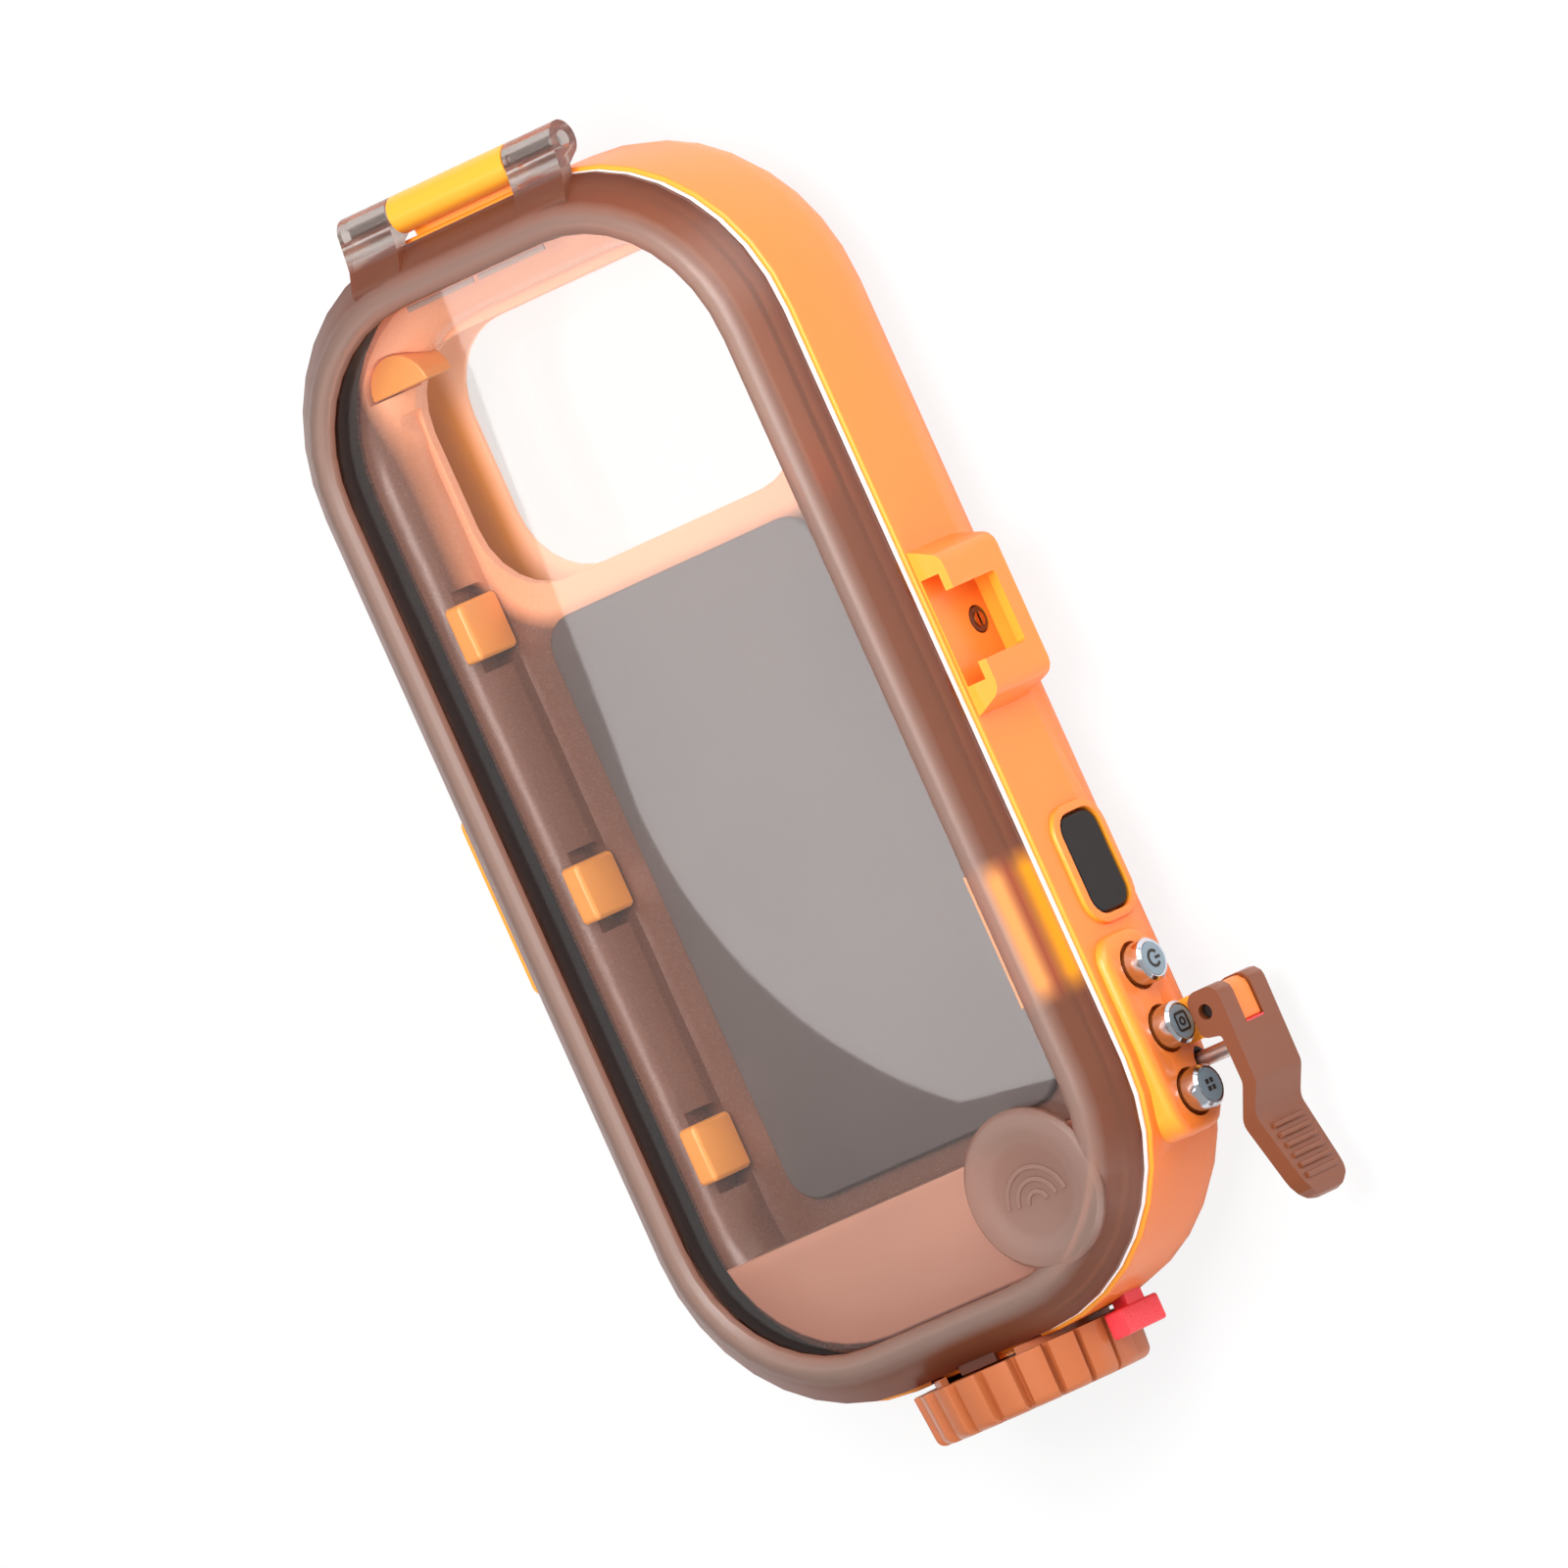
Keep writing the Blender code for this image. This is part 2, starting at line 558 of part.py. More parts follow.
def shell_walls():
    """The moulded tub: outer form, raised back frame, hollow and the inner latch block."""
    shell = case_block("shell", 0.0, SHELL_BACK, SHELL_TOP, low_edge=BACK_FILLET, high_edge=0.5 * MM,
                       edge_steps=5)
    frame_x, frame_y = HALF_X - BACK_FRAME_MARGIN, HALF_Y - BACK_FRAME_MARGIN
    frame = block("back_frame", (-frame_x, -frame_y, 0.0), (frame_x, frame_y, SHELL_BACK + SHELL_WALL / 2),
                  upward,
                  CORNER_RADIUS - BACK_FRAME_MARGIN, low_edge=0.8 * MM, corner_steps=8)
    hollow = case_block("shell_hollow", SHELL_WALL, FLOOR_Z, SHELL_TOP + 5 * MM,
                        low_edge=BACK_FILLET - SHELL_WALL)
    latch = block("latch_block", (-LATCH_HALF_WIDTH, -HALF_Y + SHELL_WALL / 2, SHELL_BACK + BACK_FILLET),
                  (LATCH_HALF_WIDTH, -HALF_Y + LATCH_THICKNESS, SHELL_TOP - LATCH_DROP), along, 2.0 * MM)
    middle = SEAL_Z - BOSS_DEPTH
    boss = block("button_boss", (HALF_X - 10 * MM, BUTTON_MID_Y - BOSS_LENGTH / 2, middle - BOSS_WIDTH / 2),
                 (BOSS_FACE_X, BUTTON_MID_Y + BOSS_LENGTH / 2, middle + BOSS_WIDTH / 2), across, 5.0 * MM,
                 high_edge=BOSS_HEIGHT * 0.85, edge_steps=3)
    join(shell, frame, boss)
    cut(shell, hollow)
    join(shell, latch)
    return shell


def camera_port(shell):
    """The opening in the back, with a ledge that the camera window seats on from outside."""
    half = CAMERA_WINDOW_WIDTH / 2
    sight = half - CAMERA_WINDOW_LEDGE
    opening = block("camera_opening", (-sight, CAMERA_WINDOW_BOTTOM + CAMERA_WINDOW_LEDGE, -MM),
                    (sight, CAMERA_WINDOW_TOP - CAMERA_WINDOW_LEDGE, FLOOR_Z + 4 * MM), upward,
                    CAMERA_WINDOW_CORNER - CAMERA_WINDOW_LEDGE, corner_steps=7)
    seat = block("camera_seat", (-half - SEAT_GAP, CAMERA_WINDOW_BOTTOM - SEAT_GAP, -MM),
                 (half + SEAT_GAP, CAMERA_WINDOW_TOP + SEAT_GAP, CAMERA_SEAT_Z), upward,
                 CAMERA_WINDOW_CORNER + SEAT_GAP, corner_steps=7)
    cut(shell, opening, seat)


def shell_hinge(shell):
    """The centre knuckle and the web that carries it."""
    web = [(-HINGE_OFFSET - 1.5 * MM, -1.4 * MM), (-hinge_round * 0.9, -1.2 * MM), (0.0, 0.0),
           (hinge_round * 0.5, -hinge_round * 0.85), (-HINGE_OFFSET - 1.5 * MM, -10.0 * MM)]
    half = HINGE_CENTRE_WIDTH / 2
    knuckle = rod("shell_knuckle", hinge_round, (-half, HINGE_Y, SEAL_Z), (half, HINGE_Y, SEAL_Z), 28)
    arm = prism("shell_hinge_web", hinge_section(web), -half + 0.6 * MM, half - 0.6 * MM, ALONG_X)
    bore = rod("shell_hinge_bore", HINGE_PIN_RADIUS + RUNNING_GAP, (-half - MM, HINGE_Y, SEAL_Z),
               (half + MM, HINGE_Y, SEAL_Z), 20)
    join(shell, arm, knuckle)
    cut(shell, bore)


def shell_shoe(shell):
    """The cold shoe: a block with a slot that is open towards the front."""
    top, bottom = SEAL_Z - SHOE_TOP_DEPTH, SEAL_Z - SHOE_BOTTOM_DEPTH
    body = prism("shoe_body", side_outline(SHOE_Y, SHOE_LENGTH / 2, SHOE_HEIGHT, SHOE_SLOPE), bottom, top)
    foot = SHOE_LENGTH / 2 + SHOE_SLOPE
    rounded_back = block("shoe_back", (HALF_X - 3 * MM, SHOE_Y - foot, bottom - MM),
                         (HALF_X + SHOE_HEIGHT + MM, SHOE_Y + foot, top + 2 * SHOE_BACK_CORNER), across,
                         SHOE_BACK_CORNER)
    boolean(body, rounded_back, "INTERSECT")
    floor_x = HALF_X + SHOE_FLOOR
    outer = HALF_X + SHOE_HEIGHT
    slot = block("shoe_slot", (floor_x, SHOE_Y - SHOE_SLOT_WIDTH / 2, bottom + SHOE_END_WALL),
                 (outer - SHOE_LIP, SHOE_Y + SHOE_SLOT_WIDTH / 2, top + MM), upward)
    mouth = block("shoe_mouth", (floor_x + MM, SHOE_Y - SHOE_LIP_OPENING / 2,
                                 bottom + SHOE_END_WALL + SHOE_MOUTH_STEP),
                  (outer + MM, SHOE_Y + SHOE_LIP_OPENING / 2, top + MM), across, 0.8 * MM, corner_steps=3)
    insert = rod("shoe_insert_bore", SHOE_INSERT_RADIUS + SEAT_GAP,
                 (floor_x - SHOE_INSERT_LENGTH - SEAT_GAP, SHOE_Y, SHOE_INSERT_Z),
                 (floor_x + MM, SHOE_Y, SHOE_INSERT_Z), 24)
    join(shell, body)
    cut(shell, slot, mouth, insert)


def shell_lens_rim(shell):
    """The raised rim round the side lens, and its blind pocket."""
    half_y, half_z = LENS_LENGTH / 2, LENS_WIDTH / 2
    outer = HALF_X + LENS_RIM_HEIGHT
    rim = block("lens_rim", (HALF_X - 2 * MM, LENS_Y - half_y - LENS_RIM, LENS_Z - half_z - LENS_RIM),
                (outer, LENS_Y + half_y + LENS_RIM, LENS_Z + half_z + LENS_RIM), across,
                LENS_CORNER + LENS_RIM,
                high_edge=0.7 * MM)
    pocket = block("lens_pocket", (LENS_BACK_X - SEAT_GAP, LENS_Y - half_y - SEAT_GAP,
                                   LENS_Z - half_z - SEAT_GAP),
                   (outer + MM, LENS_Y + half_y + SEAT_GAP, LENS_Z + half_z + SEAT_GAP), across,
                   LENS_CORNER + SEAT_GAP)
    join(shell, rim)
    cut(shell, pocket)


def button_rows():
    return [BUTTON_MID_Y + BUTTON_PITCH * step for step in (1, 0, -1)]


def shell_buttons(shell):
    """A well, a seal groove, a stem bore and room for the clip at each button."""
    for index, y in enumerate(button_rows(), 1):
        well = rod(f"button_well_{index}", BUTTON_RADIUS + BUTTON_WELL_GAP, (WELL_FLOOR_X, y, BUTTON_Z),
                   (BOSS_FACE_X + MM, y, BUTTON_Z), 28)
        groove = rod(f"button_groove_{index}", GROOVE_RADIUS, (WELL_FLOOR_X - GROOVE_DEPTH, y, BUTTON_Z),
                     (WELL_FLOOR_X + MM, y, BUTTON_Z), 24)
        bore = rod(f"button_bore_{index}", BUTTON_STEM_RADIUS + RUNNING_GAP, (HALF_X - 8 * MM, y, BUTTON_Z),
                   (HALF_X + MM, y, BUTTON_Z), 16)
        relief = rod(f"clip_relief_{index}", BUTTON_CLIP_RADIUS + SEAT_GAP, (CLIP_X - 3 * MM, y, BUTTON_Z),
                     (HALF_X - SHELL_WALL, y, BUTTON_Z), 20)
        cut(shell, well, groove, bore, relief)


def shell_lever_lug(shell):
    """The lug between the lever's cheeks, the pin bore, and the bore for the push rod and its bush."""
    end, low, high = LEVER_OUTER_X - LUG_RECESS, LEVER_SLOT_BOTTOM + SEAT_GAP, LEVER_TOP_Y - SEAT_GAP
    outline = filleted([(HALF_X - 2 * MM, low, 0.0), (end, low, 0.4 * MM), (end, high, LEVER_ROUND),
                        (HALF_X - 2 * MM, high, 0.0)])
    lug = prism("lever_lug", outline, LEVER_Z - LUG_WIDTH / 2, LEVER_Z + LUG_WIDTH / 2)
    pin = rod("lever_pin_bore", LEVER_PIN_RADIUS + RUNNING_GAP,
              (LEVER_PIVOT_X, LEVER_PIVOT_Y, LEVER_Z - LEVER_WIDTH),
              (LEVER_PIVOT_X, LEVER_PIVOT_Y, LEVER_Z + LEVER_WIDTH), 20)
    rod_bore = rod("push_rod_bore", ROD_RADIUS + RUNNING_GAP, (HALF_X - 8 * MM, ROD_Y, LEVER_Z),
                   (BOSS_FACE_X + MM, ROD_Y, LEVER_Z), 16)
    bush = rod("bush_bore", BUSH_RADIUS + SEAT_GAP, (BUSH_BACK_X - SEAT_GAP, ROD_Y, LEVER_Z),
               (BOSS_FACE_X + MM, ROD_Y, LEVER_Z), 20)
    join(shell, lug)
    cut(shell, pin, rod_bore, bush)


def shell_knob_seat(shell):
    """The boss that the knob turns on, its collar groove, the screw hole and the lock tab's pocket."""
    wall_y = -HALF_Y
    boss = rod("knob_boss", KNOB_BOSS_RADIUS, (0, wall_y + 2 * MM, KNOB_Z),
               (0, KNOB_FACE_Y + SEAT_GAP, KNOB_Z), 36)
    groove_profile = [(COLLAR_INNER - SEAT_GAP, -2 * MM), (COLLAR_INNER + COLLAR_WIDTH + SEAT_GAP, -2 * MM),
                      (COLLAR_INNER + COLLAR_WIDTH + SEAT_GAP, COLLAR_REACH + SEAT_GAP),
                      (COLLAR_INNER - SEAT_GAP, COLLAR_REACH + SEAT_GAP)]
    groove = turned("collar_groove", groove_profile, knob_centre, (0, 1, 0), 48)
    screw = rod("knob_screw_hole", KNOB_SHAFT_RADIUS + SEAT_GAP / 2,
                (0, KNOB_SCREW_END_Y + SEAT_GAP, KNOB_Z),
                (0, KNOB_FACE_Y - MM, KNOB_Z), 24)
    stem_low, stem_high = LOCK_STEM_X - LOCK_STEM_WIDTH / 2, LOCK_STEM_X + LOCK_STEM_WIDTH / 2
    pocket = block("lock_pocket", (stem_low - LOCK_TRAVEL - SEAT_GAP, wall_y - 2 * MM,
                                   LOCK_Z - LOCK_STEM_HEIGHT / 2 - SEAT_GAP),
                   (stem_high + SEAT_GAP, LOCK_STEM_END_Y + SEAT_GAP,
                    LOCK_Z + LOCK_STEM_HEIGHT / 2 + SEAT_GAP), along)
    join(shell, boss)
    cut(shell, groove, screw, pocket)


def shell_left_boss(shell):
    """The raised boss on the left wall, with a blind hole for the tripod insert."""
    outline = side_outline(-TRIPOD_Y, TRIPOD_LENGTH / 2, TRIPOD_HEIGHT, TRIPOD_SLOPE)
    body = prism("left_boss", outline, TRIPOD_Z - TRIPOD_WIDTH / 2, TRIPOD_Z + TRIPOD_WIDTH / 2, MIRRORED_X)
    face = -HALF_X - TRIPOD_HEIGHT
    hole = rod("tripod_hole", TRIPOD_INSERT_RADIUS + SEAT_GAP,
               (face + TRIPOD_INSERT_LENGTH + SEAT_GAP, TRIPOD_Y, TRIPOD_Z),
               (face - MM, TRIPOD_Y, TRIPOD_Z), 28)
    join(shell, body)
    cut(shell, hole)


def shell_posts(shell):
    """Posts on the floor that the liner stands on, and the cradle ribs under the battery cells."""
    for x in (-LINER_POST_X, LINER_POST_X):
        for y in LINER_POST_YS:
            post = rod(f"liner_post_{x:.3f}_{y:.3f}", LINER_POST_RADIUS, (x, y, FLOOR_Z - MM),
                       (x, y, LINER_BASE - SEAT_GAP), 16)
            join(shell, post)


def clamp_rail_holes(shell):
    """Blind holes in the right wall for the two clamp rails."""
    for y in rail_rows():
        hole = rod(f"rail_hole_{y:.3f}", RAIL_RADIUS + SEAT_GAP / 2, (HALF_X - SHELL_WALL - MM, y, RAIL_Z),
                   (RAIL_END_X + SEAT_GAP, y, RAIL_Z), 16)
        cut(shell, hole)


def rail_rows():
    return [CLAMP_Y - RAIL_SPACING / 2, CLAMP_Y + RAIL_SPACING / 2]


def make_rear_shell():
    shell = shell_walls()
    camera_port(shell)
    shell_hinge(shell)
    shell_shoe(shell)
    shell_lens_rim(shell)
    shell_buttons(shell)
    shell_lever_lug(shell)
    shell_knob_seat(shell)
    shell_left_boss(shell)
    shell_posts(shell)
    clamp_rail_holes(shell)
    return publish("rear_shell", shell, ORANGE, 0.35)


def catch_outline(grown=0.0, longer=0.0):
    """The catch seen from the front: a tongue with a round root, grown all round for its pocket."""
    half, tip = CATCH_WIDTH / 2 + grown, KNOB_FACE_Y + SEAT_GAP - longer
    root = -HALF_Y + RIM_INSET + CATCH_ROOT
    return [(-half, tip), (half, tip)] + arc(0, root, half, 0, 180, 8)


def make_catch():
    """The catch is a piece of its own, seated in a pocket under the rim; the knob's collar turns over it."""
    return publish("cover_catch", prism("catch", catch_outline(), RIM_BOTTOM, RIM_BOTTOM + CATCH_HEIGHT), SMOKE, 0.45)


def make_cover_rim():
    """The frosted rim: a swept section with the hinge arms, the catch's pocket and the thumb pad."""
    crest = RIM_INSET + RIM_SLOPE_RUN
    lip = RIM_TOP - WINDOW_RECESS
    seat = RIM_INNER - WINDOW_LEDGE
    section = [(RIM_INSET, RIM_BOTTOM), (RIM_INSET, RIM_BOTTOM + 0.9 * MM), (crest, RIM_TOP - 1.2 * MM),
               (crest + 1.2 * MM, RIM_TOP - 0.3 * MM), (crest + 2.4 * MM, RIM_TOP),
               (RIM_INNER - 1.4 * MM, RIM_TOP - 0.2 * MM),
               (RIM_INNER - 0.4 * MM, RIM_TOP - 0.8 * MM), (RIM_INNER, lip), (seat, lip),
               (seat, WINDOW_TOP - WINDOW_THICKNESS - SEAT_GAP),
               (RIM_INSET + 3.6 * MM, RIM_BOTTOM + 1.2 * MM),
               (RIM_INSET + 3.3 * MM, RIM_BOTTOM)]
    rim = swept("rim", section)
    half_hinge = HINGE_CENTRE_WIDTH / 2 + SEAT_GAP
    wall = -HINGE_OFFSET
    for side in (-1, 1):
        near, far = sorted((side * half_hinge, side * (half_hinge + HINGE_ARM_WIDTH)))
        barrel = [(y - HINGE_Y, z - SEAL_Z) for y, z in arc(HINGE_Y, SEAL_Z, hinge_round, 90, -140, 14)]
        web = [(wall, SEAL_HEIGHT / 2 + SEAL_GAP + 0.2 * MM), (wall - 3.5 * MM, SEAL_HEIGHT / 2 + 1.6 * MM),
               (wall - 6.3 * MM, RIM_HEIGHT - 1.4 * MM), (wall - 5.0 * MM, RIM_HEIGHT - 0.9 * MM),
               (wall - 1.0 * MM, hinge_round + 0.9 * MM)]
        join(rim, prism(f"hinge_arm_{side}", hinge_section(barrel + web), near, far, ALONG_X))
    reach = half_hinge + HINGE_ARM_WIDTH + MM
    pin_bore = rod("cover_hinge_bore", HINGE_PIN_RADIUS + RUNNING_GAP, (-reach, HINGE_Y, SEAL_Z),
                   (reach, HINGE_Y, SEAL_Z), 20)
    pocket = prism("catch_pocket", catch_outline(SEAT_GAP, 2 * MM), RIM_BOTTOM - MM,
                   RIM_BOTTOM + CATCH_HEIGHT + SEAT_GAP)
    base, top = WINDOW_TOP + 1.4 * SEAT_GAP, RIM_TOP + 0.3 * MM
    radius = THUMB_PAD_RADIUS
    pad = turned("thumb_pad", [(0, base), (radius, base), (radius, top - 1.1 * MM),
                               (radius - 0.8 * MM, top - 0.3 * MM),
                               (radius - 2.4 * MM, top), (radius - 4.2 * MM, top - 0.2 * MM),
                               (radius - 6.4 * MM, top - THUMB_PAD_DISH),
                               (0, top - THUMB_PAD_DISH - 0.1 * MM)],
                 (THUMB_PAD_X, THUMB_PAD_Y, 0), (0, 0, 1), 40)
    join(rim, pad)
    cut(rim, pin_bore, pocket)
    return publish("cover_rim", rim, SMOKE, 0.45, transmission=0.3)


def make_cover_pieces():
    """The window, seated in the rim from inside, and the seal between rim and shell."""
    window = case_block("window", WINDOW_INSET, WINDOW_TOP - WINDOW_THICKNESS, WINDOW_TOP, edge_steps=1)
    publish("front_window", window, CLEAR, 0.03, transmission=1.0)
    inner, half = SEAL_INSET + SEAL_WIDTH, SEAL_HEIGHT / 2
    seal = swept("seal", [(SEAL_INSET, SEAL_Z - half), (SEAL_INSET - 0.25 * MM, SEAL_Z),
                          (SEAL_INSET, SEAL_Z + half),
                          (inner, SEAL_Z + half), (inner, SEAL_Z - half)])
    publish("main_seal", seal, (0.9, 0.88, 0.86), 0.5)
    end = HINGE_CENTRE_WIDTH / 2 + SEAT_GAP + HINGE_ARM_WIDTH - HINGE_PIN_RECESS
    pin = rod("pin", HINGE_PIN_RADIUS, (-end, HINGE_Y, SEAL_Z), (end, HINGE_Y, SEAL_Z), 20)
    publish("hinge_pin", pin, STEEL, 0.3, 1.0)
    half_width = CAMERA_WINDOW_WIDTH / 2
    camera = block("camera", (-half_width, CAMERA_WINDOW_BOTTOM,
                              CAMERA_SEAT_Z - SEAT_GAP - CAMERA_WINDOW_THICKNESS),
                   (half_width, CAMERA_WINDOW_TOP, CAMERA_SEAT_Z - SEAT_GAP), upward, CAMERA_WINDOW_CORNER,
                   low_edge=0.4 * MM, corner_steps=7, edge_steps=1)
    publish("camera_window", camera, CLEAR, 0.03, transmission=1.0)


def top_bumper_outline(gap=0.0):
    """A half disc whose flat side faces the phone."""
    radius, low = TOP_BUMPER_RADIUS + gap, TOP_BUMPER_Y - gap
    half_disc = arc(TOP_BUMPER_X, TOP_BUMPER_Y, radius, 0, 180, 12)
    return [(TOP_BUMPER_X + radius, low)] + half_disc + [(TOP_BUMPER_X - radius, low)] if gap else half_disc


def make_liner():
    """The brown tray: a rolled edge round a floor, with pockets for bumpers, clamp, cells and cameras."""
    inset, inner, top = LINER_INSET, LINER_INSET + LINER_ROLL_WIDTH, LINER_TOP
    roll = swept("roll", [(inset, LINER_BASE), (inset, top - 2.4 * MM), (inset + 0.7 * MM, top - 0.9 * MM),
                          (inset + 2.0 * MM, top - 0.1 * MM), (inset + 3.6 * MM, top - 0.3 * MM),
                          (inset + 5.6 * MM, top - 1.6 * MM), (inset + 7.4 * MM, top - 3.8 * MM),
                          (inner, top - 6.4 * MM),
                          (inner, LINER_BASE)])
    floor = case_block("liner_floor", inner - MM, LINER_BASE + 0.1 * MM, LINER_FLOOR_TOP)
    wall_x = LINER_INNER_X + MM / 2
    divider = block("divider", (-wall_x, PLATE_TOP - 1.5 * MM, LINER_BASE + 0.5 * MM),
                    (wall_x, PLATE_TOP, top - 0.8 * MM))
    sight = CAMERA_WINDOW_WIDTH / 2 - CAMERA_WINDOW_LEDGE
    camera = block("liner_camera_cut", (-sight, CAMERA_WINDOW_BOTTOM + CAMERA_WINDOW_LEDGE, LINER_BASE - MM),
                   (sight, CAMERA_WINDOW_TOP - CAMERA_WINDOW_LEDGE, LINER_FLOOR_TOP + 0.2 * MM), upward,
                   CAMERA_WINDOW_CORNER - CAMERA_WINDOW_LEDGE, corner_steps=6)
    cells = block("liner_cell_cut", (-BATTERY_LENGTH / 2 - MM, BATTERY_Y - BATTERY_RADIUS - 0.6 * MM,
                                     LINER_BASE - MM),
                  (BATTERY_LENGTH / 2 + MM, BATTERY_Y + BATTERY_RADIUS + 0.6 * MM, LINER_FLOOR_TOP + MM))
    half_clamp = CLAMP_LENGTH / 2 + SEAT_GAP
    clamp = block("liner_clamp_cut", (LINER_INNER_X - 2 * MM, CLAMP_Y - half_clamp, LINER_FLOOR_TOP),
                  (HALF_X, CLAMP_Y + half_clamp, top + MM))
    join(roll, floor, divider)
    bay = PHONE_WIDTH / 2 + 1.5 * PHONE_GRIP_GAP
    phone = block("liner_phone_cut", (-bay, PLATE_TOP, LINER_FLOOR_TOP),
                  (bay, PHONE_TOP + 1.5 * PHONE_GRIP_GAP, top + MM),
                  upward, 1.5 * MM, corner_steps=3)
    top_pocket = prism("top_bumper_pocket", top_bumper_outline(SEAT_GAP), LINER_FLOOR_TOP, top + MM)
    cut(roll, camera, cells, clamp, phone, top_pocket)
    for y in BUMPER_YS:
        half = BUMPER_RECESS_LENGTH / 2
        recess = block(f"bumper_recess_{y:.3f}", (BUMPER_X - BUMPER_WIDTH - SEAT_GAP, y - half,
                                                  BUMPER_LOW - SEAT_GAP),
                       (BUMPER_X + 4 * MM, y + half, top + 4 * MM), across, 3.0 * MM, corner_steps=4)
        cut(roll, recess)
    return publish("inner_liner", roll, BROWN, 0.4)


def make_bay_pieces():
    """What stands in the liner: cushion, bumpers, clamp with its rails, and the electronics."""
    cushion = block("cushion", (-0.42 * PHONE_WIDTH, PHONE_BOTTOM_ROOM - HALF_Y + 2.6 * MM,
                                LINER_FLOOR_TOP + SEAT_GAP),
                    (0.42 * PHONE_WIDTH, CAMERA_WINDOW_BOTTOM - 3 * MM,
                     LINER_FLOOR_TOP + SEAT_GAP + CUSHION_THICKNESS),
                    upward, 6 * MM, high_edge=0.5 * MM)
    publish("phone_cushion", cushion, BLACK, 0.8)
    for index, y in enumerate(BUMPER_YS, 1):
        bumper = block("bumper", (BUMPER_X - BUMPER_WIDTH, y - BUMPER_LENGTH / 2, BUMPER_LOW),
                       (BUMPER_X, y + BUMPER_LENGTH / 2, BUMPER_LOW + BUMPER_HEIGHT), across, 1.0 * MM,
                       high_edge=0.7 * MM)
        publish(f"side_bumper_{index}", bumper, ORANGE, 0.4)
    top_bumper = prism("top", top_bumper_outline(), LINER_FLOOR_TOP + SEAT_GAP, LINER_TOP - 1.2 * MM)
    publish("top_bumper", top_bumper, ORANGE, 0.4)
    half = CLAMP_LENGTH / 2
    clamp = block("clamp", (CLAMP_X, CLAMP_Y - half, LINER_FLOOR_TOP + SEAT_GAP),
                  (CLAMP_X + CLAMP_WIDTH, CLAMP_Y + half, SEAL_Z - 1.4 * MM), along, 1.4 * MM,
                  corner_steps=3)
    for y in rail_rows():
        bore = rod(f"clamp_bore_{y:.3f}", RAIL_RADIUS + RUNNING_GAP, (CLAMP_X - MM, y, RAIL_Z),
                   (CLAMP_X + CLAMP_WIDTH + MM, y, RAIL_Z), 16)
        cut(clamp, bore)
    stem_room = CLIP_X - MM - BUTTON_TRAVEL - CLAMP_TRAVEL - SEAT_GAP
    relief = block("clamp_relief", (stem_room, CLAMP_Y - half - MM, LINER_FLOOR_TOP - MM),
                   (HALF_X, button_rows()[0] + BUTTON_CLIP_RADIUS + 2 * SEAT_GAP, SEAL_Z))
    cut(clamp, relief)
    publish("phone_clamp", clamp, ORANGE, 0.4)
    for index, y in enumerate(rail_rows(), 1):
        rail = rod("rail", RAIL_RADIUS, (CLAMP_X + CLAMP_TRAVEL + 0.4 * MM, y, RAIL_Z),
                   (RAIL_END_X, y, RAIL_Z), 16)
        publish(f"clamp_rail_{index}", rail, STEEL, 0.3, 1.0)
    plate = case_block("plate", PLATE_INSET, LINER_TOP + SEAT_GAP, SEAL_Z - PLATE_DEPTH, high_edge=0.6 * MM,
                       edge_steps=2)
    rest = block("plate_cut", (-HALF_X, PLATE_TOP - SEAT_GAP, 0), (HALF_X, HALF_Y, SEAL_Z + 10 * MM))
    cut(plate, rest)
    publish("electronics_cover", plate, (0.55, 0.33, 0.24), 0.45)
    for index in (1, 2):
        z = FLOOR_Z + SEAT_GAP + BATTERY_RADIUS + (index - 1) * BATTERY_PITCH
        body, nub = BATTERY_LENGTH / 2 - 1.0 * MM, 1.9 * MM
        cell = turned("cell", [(0, -body), (BATTERY_RADIUS, -body), (BATTERY_RADIUS, body), (nub, body),
                               (nub, body + MM),
                               (0, body + MM)], (0, BATTERY_Y, z), (1, 0, 0), 20)
        publish(f"battery_cell_{index}", cell, (0.2, 0.25, 0.3), 0.35)
    board_y = BATTERY_Y - BATTERY_RADIUS - 1.2 * MM
    board = block("board", (-BOARD_WIDTH / 2, board_y - BOARD_THICKNESS / 2, LINER_FLOOR_TOP + SEAT_GAP),
                  (BOARD_WIDTH / 2, board_y + BOARD_THICKNESS / 2,
                   LINER_FLOOR_TOP + SEAT_GAP + BOARD_HEIGHT))
    publish("circuit_board", board, (0.02, 0.2, 0.08), 0.5)


def make_side_lens():
    lens = block("lens", (LENS_BACK_X, LENS_Y - LENS_LENGTH / 2, LENS_Z - LENS_WIDTH / 2),
                 (LENS_BACK_X + LENS_THICKNESS, LENS_Y + LENS_LENGTH / 2, LENS_Z + LENS_WIDTH / 2), across,
                 LENS_CORNER,
                 high_edge=0.4 * MM, edge_steps=1)
    publish("side_lens", lens, BLACK, 0.08)


def make_shoe_fittings():
    """The threaded insert in the shoe's floor and its set screw."""
    face = HALF_X + SHOE_FLOOR
    insert = turned("insert", [(0.9 * MM, 0), (SHOE_INSERT_RADIUS, 0),
                               (SHOE_INSERT_RADIUS, SHOE_INSERT_LENGTH),
                               (0.9 * MM, SHOE_INSERT_LENGTH)],
                               (face - SHOE_INSERT_LENGTH, SHOE_Y, SHOE_INSERT_Z), (1, 0, 0), 24)
    publish("shoe_insert", insert, BROWN, 0.4)


